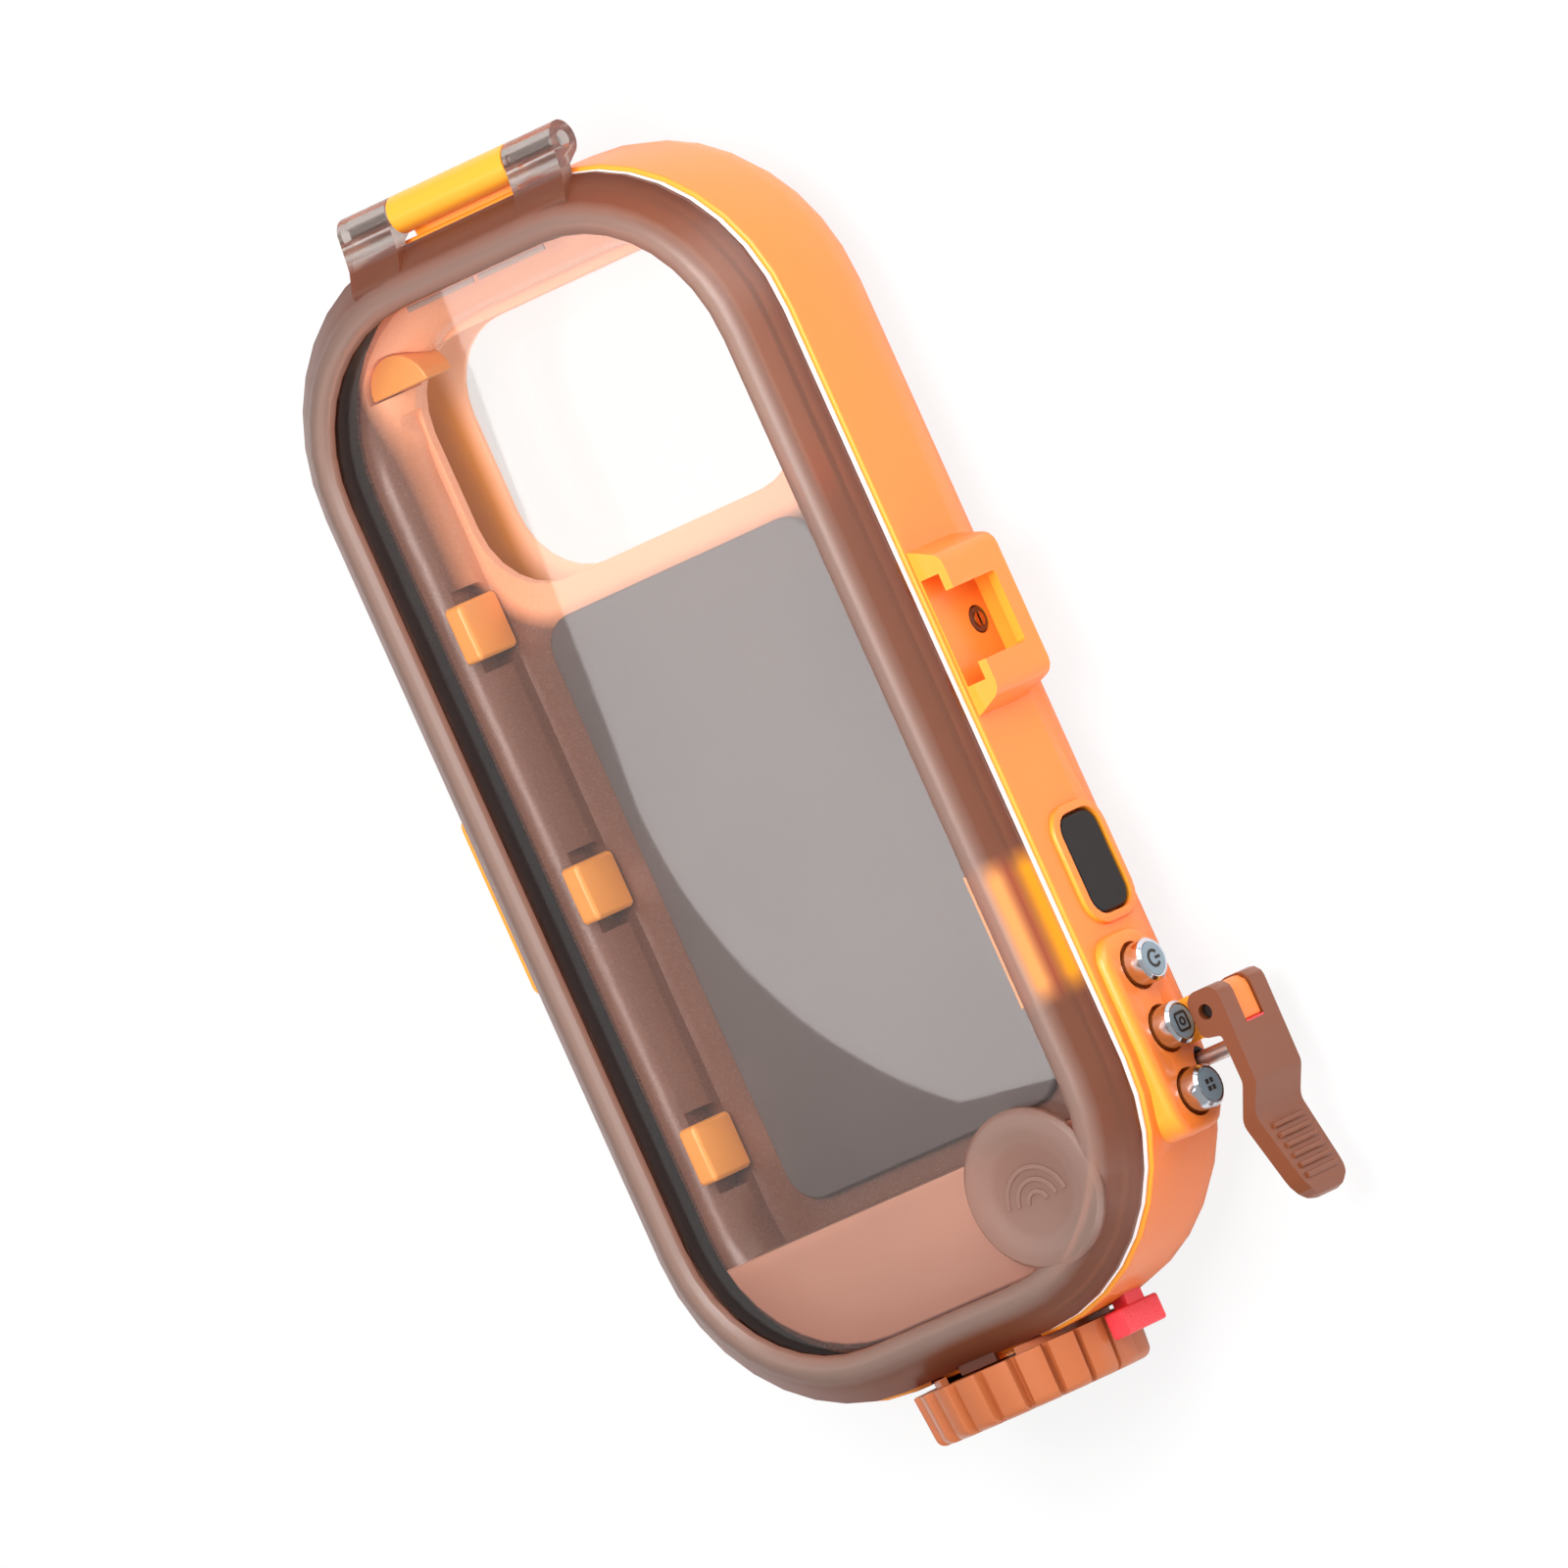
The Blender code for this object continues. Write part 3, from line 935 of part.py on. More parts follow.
def make_buttons():
    """Each button is a cap on a stem, with a seal ring in the wall and a clip on the stem's end."""
    for index, y in enumerate(button_rows(), 1):
        place = (0.0, y, BUTTON_Z)
        cap_low, cap_high = WELL_FLOOR_X + BUTTON_TRAVEL + SEAT_GAP, BOSS_FACE_X + BUTTON_PROUD
        stem, edge = BUTTON_STEM_RADIUS, 0.5 * MM
        neck_low = CLIP_X - 0.3 * MM
        profile = [(0, neck_low - 0.7 * MM), (stem, neck_low - 0.7 * MM), (stem, cap_low),
                   (BUTTON_RADIUS, cap_low),
                   (BUTTON_RADIUS, cap_high - edge), (BUTTON_RADIUS - edge, cap_high),
                   (BUTTON_RADIUS - 1.3 * edge, cap_high),
                   (BUTTON_RADIUS - 1.6 * edge, cap_high - 0.15 * MM), (0, cap_high - 0.15 * MM)]
        button = publish(f"button_{index}", turned("button", profile, place, (1, 0, 0), 24), STEEL, 0.15,
                         1.0)
        inner, outer = stem + SEAT_GAP / 2, BUTTON_CLIP_RADIUS
        clip = publish(f"button_clip_{index}", turned("clip", [(inner, CLIP_X), (outer, CLIP_X),
                       (outer, CLIP_X + BUTTON_CLIP_THICKNESS), (inner, CLIP_X + BUTTON_CLIP_THICKNESS)],
                       place,
                       (1, 0, 0), 20), STEEL, 0.4, 1.0)
        ring_mid, ring_round = stem + RUNNING_GAP + BUTTON_SEAL_SECTION / 2, BUTTON_SEAL_SECTION / 2
        ring = turned("ring", arc(ring_mid, WELL_FLOOR_X - ring_round - SEAT_GAP / 2, ring_round, 0, 300,
                                  5), place, (1, 0, 0), 16)
        publish(f"button_seal_{index}", ring, BLACK, 0.6)
        joint_axis(f"button_{index}_axis", (BOSS_FACE_X, y, BUTTON_Z), button, clip)


def make_lever():
    """The shutter lever: a side profile crossed with a front outline, forked round the lug, thumb ribbed."""
    outer, cheek, plate = LEVER_OUTER_X, LEVER_CHEEK_X, LEVER_OUTER_X - LEVER_PLATE
    top = LEVER_TOP_Y
    profile = filleted([
        (outer, top, LEVER_ROUND), (outer - 0.3 * MM, top - 17.6 * MM, 2.5 * MM),
        (outer - 3.4 * MM, top - 22.8 * MM, 3.0 * MM), (outer - 0.1 * MM, LEVER_TIP_Y + 2.6 * MM, 1.6 * MM),
        (outer - 0.5 * MM, LEVER_TIP_Y, 1.2 * MM), (outer - 2.9 * MM, LEVER_TIP_Y + 0.6 * MM, 1.4 * MM),
        (outer - 6.5 * MM, top - 23.4 * MM, 3.0 * MM), (plate, top - 17.0 * MM, 2.5 * MM),
        (plate, top - LEVER_SLOT_DEPTH - 0.4 * MM, 0.6 * MM), (cheek, top - LEVER_SLOT_DEPTH + 0.3 * MM,
                                                               1.6 * MM),
        (cheek, top, LEVER_ROUND)])
    half = LEVER_WIDTH / 2
    lever = prism("lever", profile, LEVER_Z - half, LEVER_Z + half)
    tip = 0.85 * half
    front = filleted([(top + MM, LEVER_Z - half, 0.0), (top + MM, LEVER_Z + half, 0.0),
                      (top - 22.0 * MM, LEVER_Z + half, 8.0 * MM), (LEVER_TIP_Y, LEVER_Z + tip, 5.2 * MM),
                      (LEVER_TIP_Y, LEVER_Z - tip, 5.2 * MM), (top - 22.0 * MM, LEVER_Z - half, 8.0 * MM)],
                      5)
    mask = prism("lever_mask", front, cheek - 5 * MM, outer + 5 * MM, ALONG_X)
    slot = block("lever_slot", (cheek - MM, LEVER_SLOT_BOTTOM, LEVER_Z - LEVER_SLOT_WIDTH / 2),
                 (outer + MM, top + MM, LEVER_Z + LEVER_SLOT_WIDTH / 2))
    pin_bore = rod("lever_bore", LEVER_PIN_RADIUS + SEAT_GAP / 2,
                   (LEVER_PIVOT_X, LEVER_PIVOT_Y, LEVER_Z - LEVER_WIDTH),
                   (LEVER_PIVOT_X, LEVER_PIVOT_Y, LEVER_Z + LEVER_WIDTH), 20)
    boolean(lever, mask, "INTERSECT")
    cut(lever, slot, pin_bore)
    first, last = Vector((outer - 2.8 * MM, top - 25.6 * MM)), Vector((outer - 0.6 * MM, top - 35.2 * MM))
    for step in range(THUMB_RIBS):
        spot = first.lerp(last, step / (THUMB_RIBS - 1))
        rib = rod(f"thumb_rib_{step}", THUMB_RIB_RADIUS, (spot.x, spot.y, LEVER_Z - THUMB_RIB_LENGTH / 2),
                  (spot.x, spot.y, LEVER_Z + THUMB_RIB_LENGTH / 2), 10)
        join(lever, rib)
    lever = publish("shutter_lever", lever, BROWN, 0.4)
    joint_axis("lever_axis", (LEVER_PIVOT_X, LEVER_PIVOT_Y, LEVER_Z), lever)
    end = half - PIN_RECESS
    pin = rod("pin", LEVER_PIN_RADIUS, (LEVER_PIVOT_X, LEVER_PIVOT_Y, LEVER_Z - end),
              (LEVER_PIVOT_X, LEVER_PIVOT_Y, LEVER_Z + end), 20)
    publish("lever_pin", pin, STEEL, 0.3, 1.0)
    push = rod("push", ROD_RADIUS, (HALF_X - SHELL_WALL - ROD_INSIDE, ROD_Y, LEVER_Z),
               (plate - ROD_END_GAP, ROD_Y, LEVER_Z), 20)
    push = publish("push_rod", push, STEEL, 0.2, 1.0)
    joint_axis("push_rod_axis", (HALF_X, ROD_Y, LEVER_Z), push)
    bush = turned("bush", [(ROD_RADIUS + RUNNING_GAP, 0), (BUSH_RADIUS, 0),
                           (BUSH_RADIUS, BUSH_LENGTH - 0.4 * MM),
                           (BUSH_RADIUS - 0.4 * MM, BUSH_LENGTH), (ROD_RADIUS + RUNNING_GAP, BUSH_LENGTH)],
                  (BUSH_BACK_X, ROD_Y, LEVER_Z), (1, 0, 0), 20)
    publish("rod_bush", bush, BLACK, 0.6)


def knob_outline():
    """Saw teeth round the knob: each falls slowly from the rim and rises in one short step."""
    points = []
    pitch = math.tau / KNOB_FLUTES
    for tooth in range(KNOB_FLUTES):
        start = tooth * pitch + KNOB_PHASE * pitch
        for share, radius in ((0.0, KNOB_RADIUS), (0.45, KNOB_RADIUS - 0.3 * KNOB_FLUTE_DEPTH),
                              (0.86, KNOB_RADIUS - KNOB_FLUTE_DEPTH)):
            angle = start + share * pitch
            points.append((radius * math.cos(angle), radius * math.sin(angle)))
    return points


def make_knob():
    """The fluted knob with a C-shaped collar that passes over the catch when the knob is turned."""
    place = Matrix.Translation(knob_centre) @ ALONG_Y
    knob = prism("knob", knob_outline(), 0.0, KNOB_LENGTH, place)
    profile = [(0, -MM), (KNOB_RADIUS + 0.1 * MM, -MM), (KNOB_RADIUS + 0.1 * MM, 0),
               (KNOB_RADIUS - KNOB_TAPER, KNOB_LENGTH - KNOB_EDGE),
               (KNOB_RADIUS - KNOB_TAPER - 0.4 * KNOB_EDGE, KNOB_LENGTH - 0.35 * KNOB_EDGE),
               (KNOB_RADIUS - KNOB_TAPER - KNOB_EDGE, KNOB_LENGTH), (0, KNOB_LENGTH)]
    envelope = turned("knob_envelope", profile, knob_centre, (0, -1, 0), 60)
    boolean(knob, envelope, "INTERSECT")
    half = math.radians(COLLAR_OPENING / 2)
    outer, inner = COLLAR_INNER + COLLAR_WIDTH, COLLAR_INNER
    first, last = 90 + math.degrees(half), 450 - math.degrees(half)
    collar_outline = arc(0, 0, outer, first, last, 36) + arc(0, 0, inner, last, first, 36)
    groove_profile = [(inner - SEAT_GAP, -MM), (outer + SEAT_GAP, -MM),
                      (outer + SEAT_GAP, COLLAR_SEAT + SEAT_GAP),
                      (inner - SEAT_GAP, COLLAR_SEAT + SEAT_GAP)]
    groove = turned("knob_ring_groove", groove_profile, knob_centre, (0, -1, 0), 48)
    collar = publish("lock_collar", prism("collar", collar_outline, -COLLAR_REACH, COLLAR_SEAT, place),
                     BROWN, 0.4)
    bore = rod("knob_bore", KNOB_SHAFT_RADIUS + RUNNING_GAP, (0, KNOB_FACE_Y + MM, KNOB_Z),
               (0, KNOB_FACE_Y - KNOB_LENGTH - MM, KNOB_Z), 28)
    head = rod("knob_head_recess", KNOB_HEAD_RADIUS + 0.5 * MM, (0, HEAD_SEAT_Y, KNOB_Z),
               (0, KNOB_FACE_Y - KNOB_LENGTH - MM, KNOB_Z), 32)
    cut(knob, bore, head, groove)
    knob = publish("lock_knob", knob, BROWN, 0.4)
    joint_axis("knob_axis", knob_centre, knob, collar)
    seat = KNOB_FACE_Y - HEAD_SEAT_Y + SEAT_GAP
    profile = [(0, -KNOB_SCREW_DEPTH), (KNOB_SHAFT_RADIUS, -KNOB_SCREW_DEPTH), (KNOB_SHAFT_RADIUS, seat),
               (KNOB_HEAD_RADIUS, seat),
               (KNOB_HEAD_RADIUS, seat + KNOB_HEAD_HEIGHT - 0.6 * MM),
               (KNOB_HEAD_RADIUS - 0.6 * MM, seat + KNOB_HEAD_HEIGHT),
               (2.2 * MM, seat + KNOB_HEAD_HEIGHT), (2.2 * MM, seat + 0.9 * MM), (0, seat + 0.9 * MM)]
    publish("knob_screw", turned("screw", profile, knob_centre, (0, -1, 0), 28), STEEL, 0.3, 1.0)


def make_lock_tab():
    """The red slide beside the knob: a tooth that enters a flute, on a stem in the shell's pocket."""
    half_z = LOCK_TAB_HEIGHT / 2
    face = KNOB_FACE_Y
    tab = block("tab", (LOCK_TAB_X, face - LOCK_TAB_LENGTH, LOCK_Z - half_z),
                (LOCK_TAB_X + LOCK_TAB_WIDTH, face, LOCK_Z + half_z),
                upward, 0.5 * MM, low_edge=0.3 * MM, high_edge=0.3 * MM, corner_steps=2, edge_steps=1)
    stem = block("stem", (LOCK_STEM_X - LOCK_STEM_WIDTH / 2, face - MM, LOCK_Z - LOCK_STEM_HEIGHT / 2),
                 (LOCK_STEM_X + LOCK_STEM_WIDTH / 2, LOCK_STEM_END_Y, LOCK_Z + LOCK_STEM_HEIGHT / 2))
    tooth_z = KNOB_Z + 0.07 * KNOB_RADIUS
    tooth = block("tooth", (LOCK_TAB_X - LOCK_TOOTH_HEIGHT, face - LOCK_TAB_LENGTH + 0.5 * MM,
                            tooth_z - LOCK_TOOTH_WIDTH / 2),
                  (LOCK_TAB_X + MM, face - 0.5 * MM, tooth_z + LOCK_TOOTH_WIDTH / 2))
    join(tab, stem, tooth)
    tab = publish("lock_tab", tab, (0.85, 0.03, 0.05), 0.4)
    joint_axis("lock_tab_axis", (LOCK_STEM_X, face, LOCK_Z), tab)


def make_tripod_insert():
    face = -HALF_X - TRIPOD_HEIGHT
    insert = turned("insert", [(TRIPOD_BORE_RADIUS, 0), (TRIPOD_INSERT_RADIUS, 0),
                               (TRIPOD_INSERT_RADIUS, TRIPOD_INSERT_LENGTH),
                               (TRIPOD_BORE_RADIUS, TRIPOD_INSERT_LENGTH)],
                    (face + TRIPOD_INSERT_LENGTH, TRIPOD_Y, TRIPOD_Z), (-1, 0, 0), 28)
    publish("tripod_insert", insert, STEEL, 0.35, 1.0)


make_rear_shell()
cover = make_cover_rim()
make_cover_pieces()
joint_axis("cover_axis", (0.0, HINGE_Y, SEAL_Z), cover, make_catch(), bpy.data.objects["front_window"])
make_liner()
make_bay_pieces()
joint_axis("clamp_axis", (CLAMP_X, CLAMP_Y, RAIL_Z), bpy.data.objects["phone_clamp"])
make_side_lens()
make_shoe_fittings()
make_buttons()
make_lever()
make_knob()
make_lock_tab()
make_tripod_insert()
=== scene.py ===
"""Waterproof phone case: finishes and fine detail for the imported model, laid out as an add-on.

Sizes are in metres in the model's own frame: +X to the buttons, +Y to the hinge, +Z out of the window.
"""

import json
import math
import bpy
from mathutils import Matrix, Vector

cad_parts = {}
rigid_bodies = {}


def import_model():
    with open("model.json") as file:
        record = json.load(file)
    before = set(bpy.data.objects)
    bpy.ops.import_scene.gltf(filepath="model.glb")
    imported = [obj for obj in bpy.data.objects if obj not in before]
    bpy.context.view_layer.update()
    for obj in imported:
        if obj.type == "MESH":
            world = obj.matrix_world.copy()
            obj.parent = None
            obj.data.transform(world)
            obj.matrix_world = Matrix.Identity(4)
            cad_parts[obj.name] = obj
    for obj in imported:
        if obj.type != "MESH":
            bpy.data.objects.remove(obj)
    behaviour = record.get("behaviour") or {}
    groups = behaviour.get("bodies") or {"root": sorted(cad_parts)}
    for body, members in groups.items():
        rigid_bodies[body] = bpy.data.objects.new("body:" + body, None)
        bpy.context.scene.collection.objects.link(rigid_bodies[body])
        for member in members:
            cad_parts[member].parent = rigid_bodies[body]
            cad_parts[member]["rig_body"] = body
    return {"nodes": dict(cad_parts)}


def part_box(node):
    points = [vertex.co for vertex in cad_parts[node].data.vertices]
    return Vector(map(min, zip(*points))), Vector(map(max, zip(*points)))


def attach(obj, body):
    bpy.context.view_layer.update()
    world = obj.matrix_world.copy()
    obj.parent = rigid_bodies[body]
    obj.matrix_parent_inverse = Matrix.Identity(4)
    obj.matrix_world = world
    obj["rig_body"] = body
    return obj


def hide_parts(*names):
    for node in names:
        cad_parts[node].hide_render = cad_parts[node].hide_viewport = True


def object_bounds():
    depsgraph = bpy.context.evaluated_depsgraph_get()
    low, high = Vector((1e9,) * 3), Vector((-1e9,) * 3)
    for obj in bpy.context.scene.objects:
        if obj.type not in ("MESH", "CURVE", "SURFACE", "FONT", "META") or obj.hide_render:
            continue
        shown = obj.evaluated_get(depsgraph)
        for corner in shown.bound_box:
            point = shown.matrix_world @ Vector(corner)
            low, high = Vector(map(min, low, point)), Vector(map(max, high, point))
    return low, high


bl_info = {
    "name": "Waterproof Phone Case",
    "version": (1, 0, 0),
    "blender": (4, 5, 0),
    "location": "3D View > Sidebar > Phone Case",
    "description": "Dresses the hinged dive case in moulded plastic, clear windows, rubber and steel",
    "category": "Object",
}

import bmesh
import bpy
from mathutils import Matrix, Vector

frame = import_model()
cad_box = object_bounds()

MM = 0.001

# Places and sizes read from the CAD, and the few of its values that no box shows.
SEAL_Z = (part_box("main_seal")[0].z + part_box("main_seal")[1].z) / 2
SEAL_LIP = 0.65 * MM
CASE_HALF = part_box("main_seal")[1].xy + Vector((SEAL_LIP, SEAL_LIP))
CASE_CORNER = 36.7 * MM
SHELL_WALL = 3.0 * MM
WINDOW_LOW, WINDOW_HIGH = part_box("front_window")
RIM_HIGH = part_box("cover_rim")[1]
RIM_WIDTH = 10.1 * MM
THUMB_PAD_INSET = 23.2 * MM
THUMB_PAD_DIP = 1.0 * MM
THUMB_PAD_PLACE = Vector((CASE_HALF.x - THUMB_PAD_INSET, THUMB_PAD_INSET - CASE_HALF.y,
                          RIM_HIGH.z - THUMB_PAD_DIP))
KNOB_LOW, KNOB_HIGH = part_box("lock_knob")
KNOB_RADIUS = 20.2 * MM
KNOB_FLUTES = 20
KNOB_FIRST_CREST = math.radians(-171.0)
LEVER_LOW, LEVER_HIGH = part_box("shutter_lever")
LEVER_SLOT_BOTTOM = LEVER_HIGH.y - 8.0 * MM

# Turns a flat drawing in (across, up, out) so that it lies on the right wall and faces +X.
ON_RIGHT_WALL = Matrix(((0, 0, 1, 0), (1, 0, 0, 0), (0, 1, 0, 0), (0, 0, 0, 1)))
# Turns a flat drawing in (x, z, height) so that it faces +Y.
FACING_UP_Y = Matrix(((1, 0, 0, 0), (0, 0, 1, 0), (0, 1, 0, 0), (0, 0, 0, 1)))

# Sizes of the textures.
FLOW_SIZE = 28 * MM
WAVE_SIZE = 35 * MM
FROST_SIZE = 0.3 * MM
GRAIN_DEPTH = 0.02 * MM
WAVE_DEPTH = 0.05 * MM

# Colours that imitate the light in the photo start and end at these sizes.
# Painted shade on the inner face of the shell's wall: its heights, soft edge and reach.
DARK_WALL_HEIGHTS = (5.0 * MM, 7.0 * MM)
DARK_WALL_SOFT_EDGE = (0.1 * MM, 0.4 * MM)
DARK_WALL_REACH = (5 * MM, 3 * MM)
# Painted glow round the camera window: its shift, core, reach, heights and emission.
GLOW_SHIFT_Y = 3 * MM
GLOW_CORE_INSET = (14 * MM, 7 * MM)
GLOW_REACH = (11.5 * MM, 15 * MM)
GLOW_HEIGHTS = (1.5 * MM, 2.5 * MM)
GLOW_EMISSION = 0.2
# Painted show-through of the orange clamp on the rim, in painted bright and dark bands.
CLAMP_BAND_ACROSS = (8.8 * MM, 0.3 * MM)
# The rim darkens towards its foot and carries a painted sheen along its crest.
RIM_FOOT_DROP, RIM_CREST_DROP = 2.3 * MM, 0.3 * MM
ARM_EDGE = (1.5 * MM, 0.5 * MM)
# Painted highlight on faces that look up and on the hinge knuckle, and painted shade towards the knob's end.
TOP_FACING, TOP_SHARE = (0.35, 0.95), 0.7
KNUCKLE_EDGE = (0.8 * MM, 2.4 * MM)
SHADED_END_LENGTH, SHADED_END_SHARE = 50 * MM, 0.6
END_SHADE_ORANGE = "#C05A1C"

# The added trim.
THUMB_ARC_RADII = (2.0 * MM, 4.1 * MM, 6.2 * MM)
THUMB_ARC_DROP = 2.4 * MM
THUMB_ARC_WIDTH = 0.8 * MM
THUMB_ARC_LEVELS = (-0.1 * MM, 0.3 * MM)
# Pale strips under the window's upper edge: a painted highlight for the pane edge's glint.
STRIP_LENGTH, STRIP_WIDTH, STRIP_THICKNESS = 15.0 * MM, 1.0 * MM, 0.5 * MM
STRIP_GAP = 1.2 * MM
STRIP_START_X = -16.6 * MM
DISC_RADIUS = 2.9 * MM
DISC_LEVELS = (-0.14 * MM, -0.02 * MM)
ICON_LEVELS = (-0.04 * MM, 0.06 * MM)
POWER_RING_RADIUS, POWER_LINE = 1.35 * MM, 0.5 * MM
POWER_BAR = (0.3 * MM, 1.7 * MM)
CAMERA_HALF, CAMERA_CORNER, CAMERA_LINE = 1.5 * MM, 0.5 * MM, 0.45 * MM
CAMERA_LENS_RADIUS, CAMERA_LENS_LINE = 0.62 * MM, 0.4 * MM
GRID_HALF, GRID_CORNER, GRID_PITCH = 0.42 * MM, 0.12 * MM, 1.25 * MM
GRID_LEVELS = (-0.04 * MM, 0.05 * MM)
STOP_STRIP_HALF_WIDTH = 2.6 * MM
STOP_STRIP_INSETS = (0.1 * MM, 2.9 * MM)
STOP_STRIP_LEVELS = (-0.1 * MM, 0.25 * MM)
SHOE_SCREW_RADIUS = 1.3 * MM
SHOE_SCREW_LEVELS = (-0.1 * MM, 0.25 * MM)
SHOE_SCREW_HALVES = ((12.0, 168.0), (192.0, 348.0))

# The finer knob, in millimetres. A panel's points are its share of a flute's pitch and its depth.
KNOB_PANEL = ((0.0, 0.10), (0.05, 0.06), (0.28, 0.2), (0.52, 0.48), (0.74, 0.85), (0.80, 1.9), (0.86, 2.3),
              (0.92, 1.9), (0.97, 0.4), (1.0, 0.10))
KNOB_TAPER, KNOB_ROUND = 0.6, 1.6
KNOB_RECESS_RADIUS, KNOB_RECESS_DEPTH, KNOB_RECESS_EDGE = 7.5, 4.0, 0.4
KNOB_BORE_RADIUS = 4.3
KNOB_GROOVE_RADII, KNOB_GROOVE_DEPTH = (14.1, 16.2), 1.5

# The stage, in metres, and in millimetres for the outline of the card that the window mirrors.
# A lamp has its name, place, width and power, and whether mirror reflections show it.
FLOOR_HALF = 1.5
FLOOR_WHITE_SHARE = 0.85
WORLD_LIGHT = 0.5
LAMPS = (("key_light", (0.22, 0.25, 0.92), 0.5, 8.4, True),
         ("side_light", (0.5, 0.35, 0.28), 0.4, 1.9, True),
         ("low_light", (0.35, -0.7, 0.45), 0.4, 2.3, False))
SENSOR_WIDTH = 36.0
VIEW_CENTRE = Vector((11.31 * MM, -3.48 * MM, SEAL_Z))
CARD_HEIGHT = 0.5
CARD_LEFT, CARD_RIGHT, CARD_LOW, CARD_TOP = -9.0, 60.0, -75.0, 112.0
CARD_BEND_X, CARD_BEND_Y, CARD_BEND_RADIUS = 70.5, 4, 88


def linear(colour):
    """An sRGB hex colour as the linear RGBA that shaders take."""
    parts = [int(colour.lstrip("#")[i:i + 2], 16) / 255 for i in (0, 2, 4)]
    return tuple(c / 12.92 if c <= 0.04045 else ((c + 0.055) / 1.055) ** 2.4 for c in parts) + (1.0,)


def add(tree, kind, settings=None, inputs=None):
    """Adds a node, sets its properties, and fills or links its inputs by name or number."""
    made = tree.nodes.new(kind)
    for name, value in (settings or {}).items():
        setattr(made, name, value)
    for name, value in (inputs or {}).items():
        if isinstance(value, bpy.types.NodeSocket):
            tree.links.new(value, made.inputs[name])
        else:
            made.inputs[name].default_value = value
    return made


def start_material(name):
    """An empty material with its output, and the object's own coordinates for its patterns."""
    made = bpy.data.materials.new(name)
    made.use_nodes = True
    tree = made.node_tree
    tree.nodes.clear()
    output = add(tree, "ShaderNodeOutputMaterial")
    place = add(tree, "ShaderNodeTexCoord").outputs["Object"]
    return made, tree, output, place


def ramp(tree, source, stops):
    """A colour ramp over source, from (position, colour) stops."""
    made = add(tree, "ShaderNodeValToRGB", inputs={"Fac": source})
    elements = made.color_ramp.elements
    while len(elements) < len(stops):
        elements.new(1.0)
    for element, (position, colour) in zip(elements, stops):
        element.position = position
        element.color = colour
    return made.outputs["Color"]


def shade(colour, factor):
    """A colour made lighter or darker by a factor."""
    return tuple(min(1.0, c * factor) for c in colour[:3]) + (1.0,)


def between(tree, value, low, high, at_low=0.0, at_high=1.0):
    """A value's place between low and high, held at its ends."""
    made = add(tree, "ShaderNodeMapRange", inputs={
        "Value": value, "From Min": low, "From Max": high, "To Min": at_low, "To Max": at_high})
    return made.outputs["Result"]


def blended(tree, factor, first, second):
    """Two colours mixed by a factor."""
    return add(tree, "ShaderNodeMix", {"data_type": "RGBA"}, {0: factor, 6: first, 7: second}).outputs[2]


def mixed(tree, factor, first, second):
    """Two shaders mixed by a factor."""
    return add(tree, "ShaderNodeMixShader", inputs={0: factor, 1: first, 2: second}).outputs["Shader"]


def maths(tree, operation, first, second):
    """An operation on two numbers."""
    return add(tree, "ShaderNodeMath", {"operation": operation}, {0: first, 1: second}).outputs["Value"]


def vector_maths(tree, operation, first, second=(0.0, 0.0, 0.0)):
    """An operation on one or two vectors; only a length comes out as a number."""
    made = add(tree, "ShaderNodeVectorMath", {"operation": operation}, {0: first, 1: second})
    return made.outputs["Value" if operation == "LENGTH" else "Vector"]


def axis(tree, vector, letter):
    """One coordinate of a vector."""
    return add(tree, "ShaderNodeSeparateXYZ", inputs={"Vector": vector}).outputs[letter]


def noise(tree, place, size, detail=2.0):
    """Noise from 0 to 1 whose blots have about one size."""
    made = add(tree, "ShaderNodeTexNoise", inputs={"Vector": place, "Scale": 1 / size, "Detail": detail})
    return made.outputs["Fac"]


def bumps(tree, height, strength, depth):
    """A normal that follows a height pattern."""
    made = add(tree, "ShaderNodeBump", inputs={"Height": height, "Strength": strength, "Distance": depth})
    return made.outputs["Normal"]


def outside(tree, place, middle, half):
    """How far a point lies outside a rectangle, seen from the front; its height doesn't count."""
    beyond_the_case = 1.0
    flat = vector_maths(tree, "SUBTRACT", place, (middle[0], middle[1], 0.0))
    flat = vector_maths(tree, "ABSOLUTE", flat)
    flat = vector_maths(tree, "SUBTRACT", flat, (half[0], half[1], beyond_the_case))
    return vector_maths(tree, "LENGTH", vector_maths(tree, "MAXIMUM", flat))


def painted_wall_shade(tree, place, colour, dark):
    """The colour, with painted shade on the inner face of the shell's wall, above its floor."""
    reach = outside(tree, place, (0.0, 0.0), (CASE_HALF.x - CASE_CORNER, CASE_HALF.y - CASE_CORNER))
    face = CASE_CORNER - SHELL_WALL
    first, last = DARK_WALL_SOFT_EDGE
    behind = between(tree, reach, face + first, face + last, 1.0, 0.0)
    first, last = DARK_WALL_REACH
    near = between(tree, reach, face - first, face - last)
    above = between(tree, axis(tree, place, "Z"), *DARK_WALL_HEIGHTS)
    share = maths(tree, "MULTIPLY", maths(tree, "MULTIPLY", behind, near), above)
    return blended(tree, share, colour, dark)


def painted_window_glow(tree, place):
    """How close a point is to the camera window, where the plastic gets a painted glow with emission, standing
    in for daylight from behind.
    """
    low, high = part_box("camera_window")
    middle, half = (low + high) / 2 + Vector((0.0, GLOW_SHIFT_Y, 0.0)), (high - low) / 2
    reach = outside(tree, place, middle, (half.x - GLOW_CORE_INSET[0], half.y - GLOW_CORE_INSET[1]))
    near = between(tree, reach, *GLOW_REACH, 1.0, 0.0)
    return maths(tree, "MULTIPLY", near, between(tree, axis(tree, place, "Z"), *GLOW_HEIGHTS))


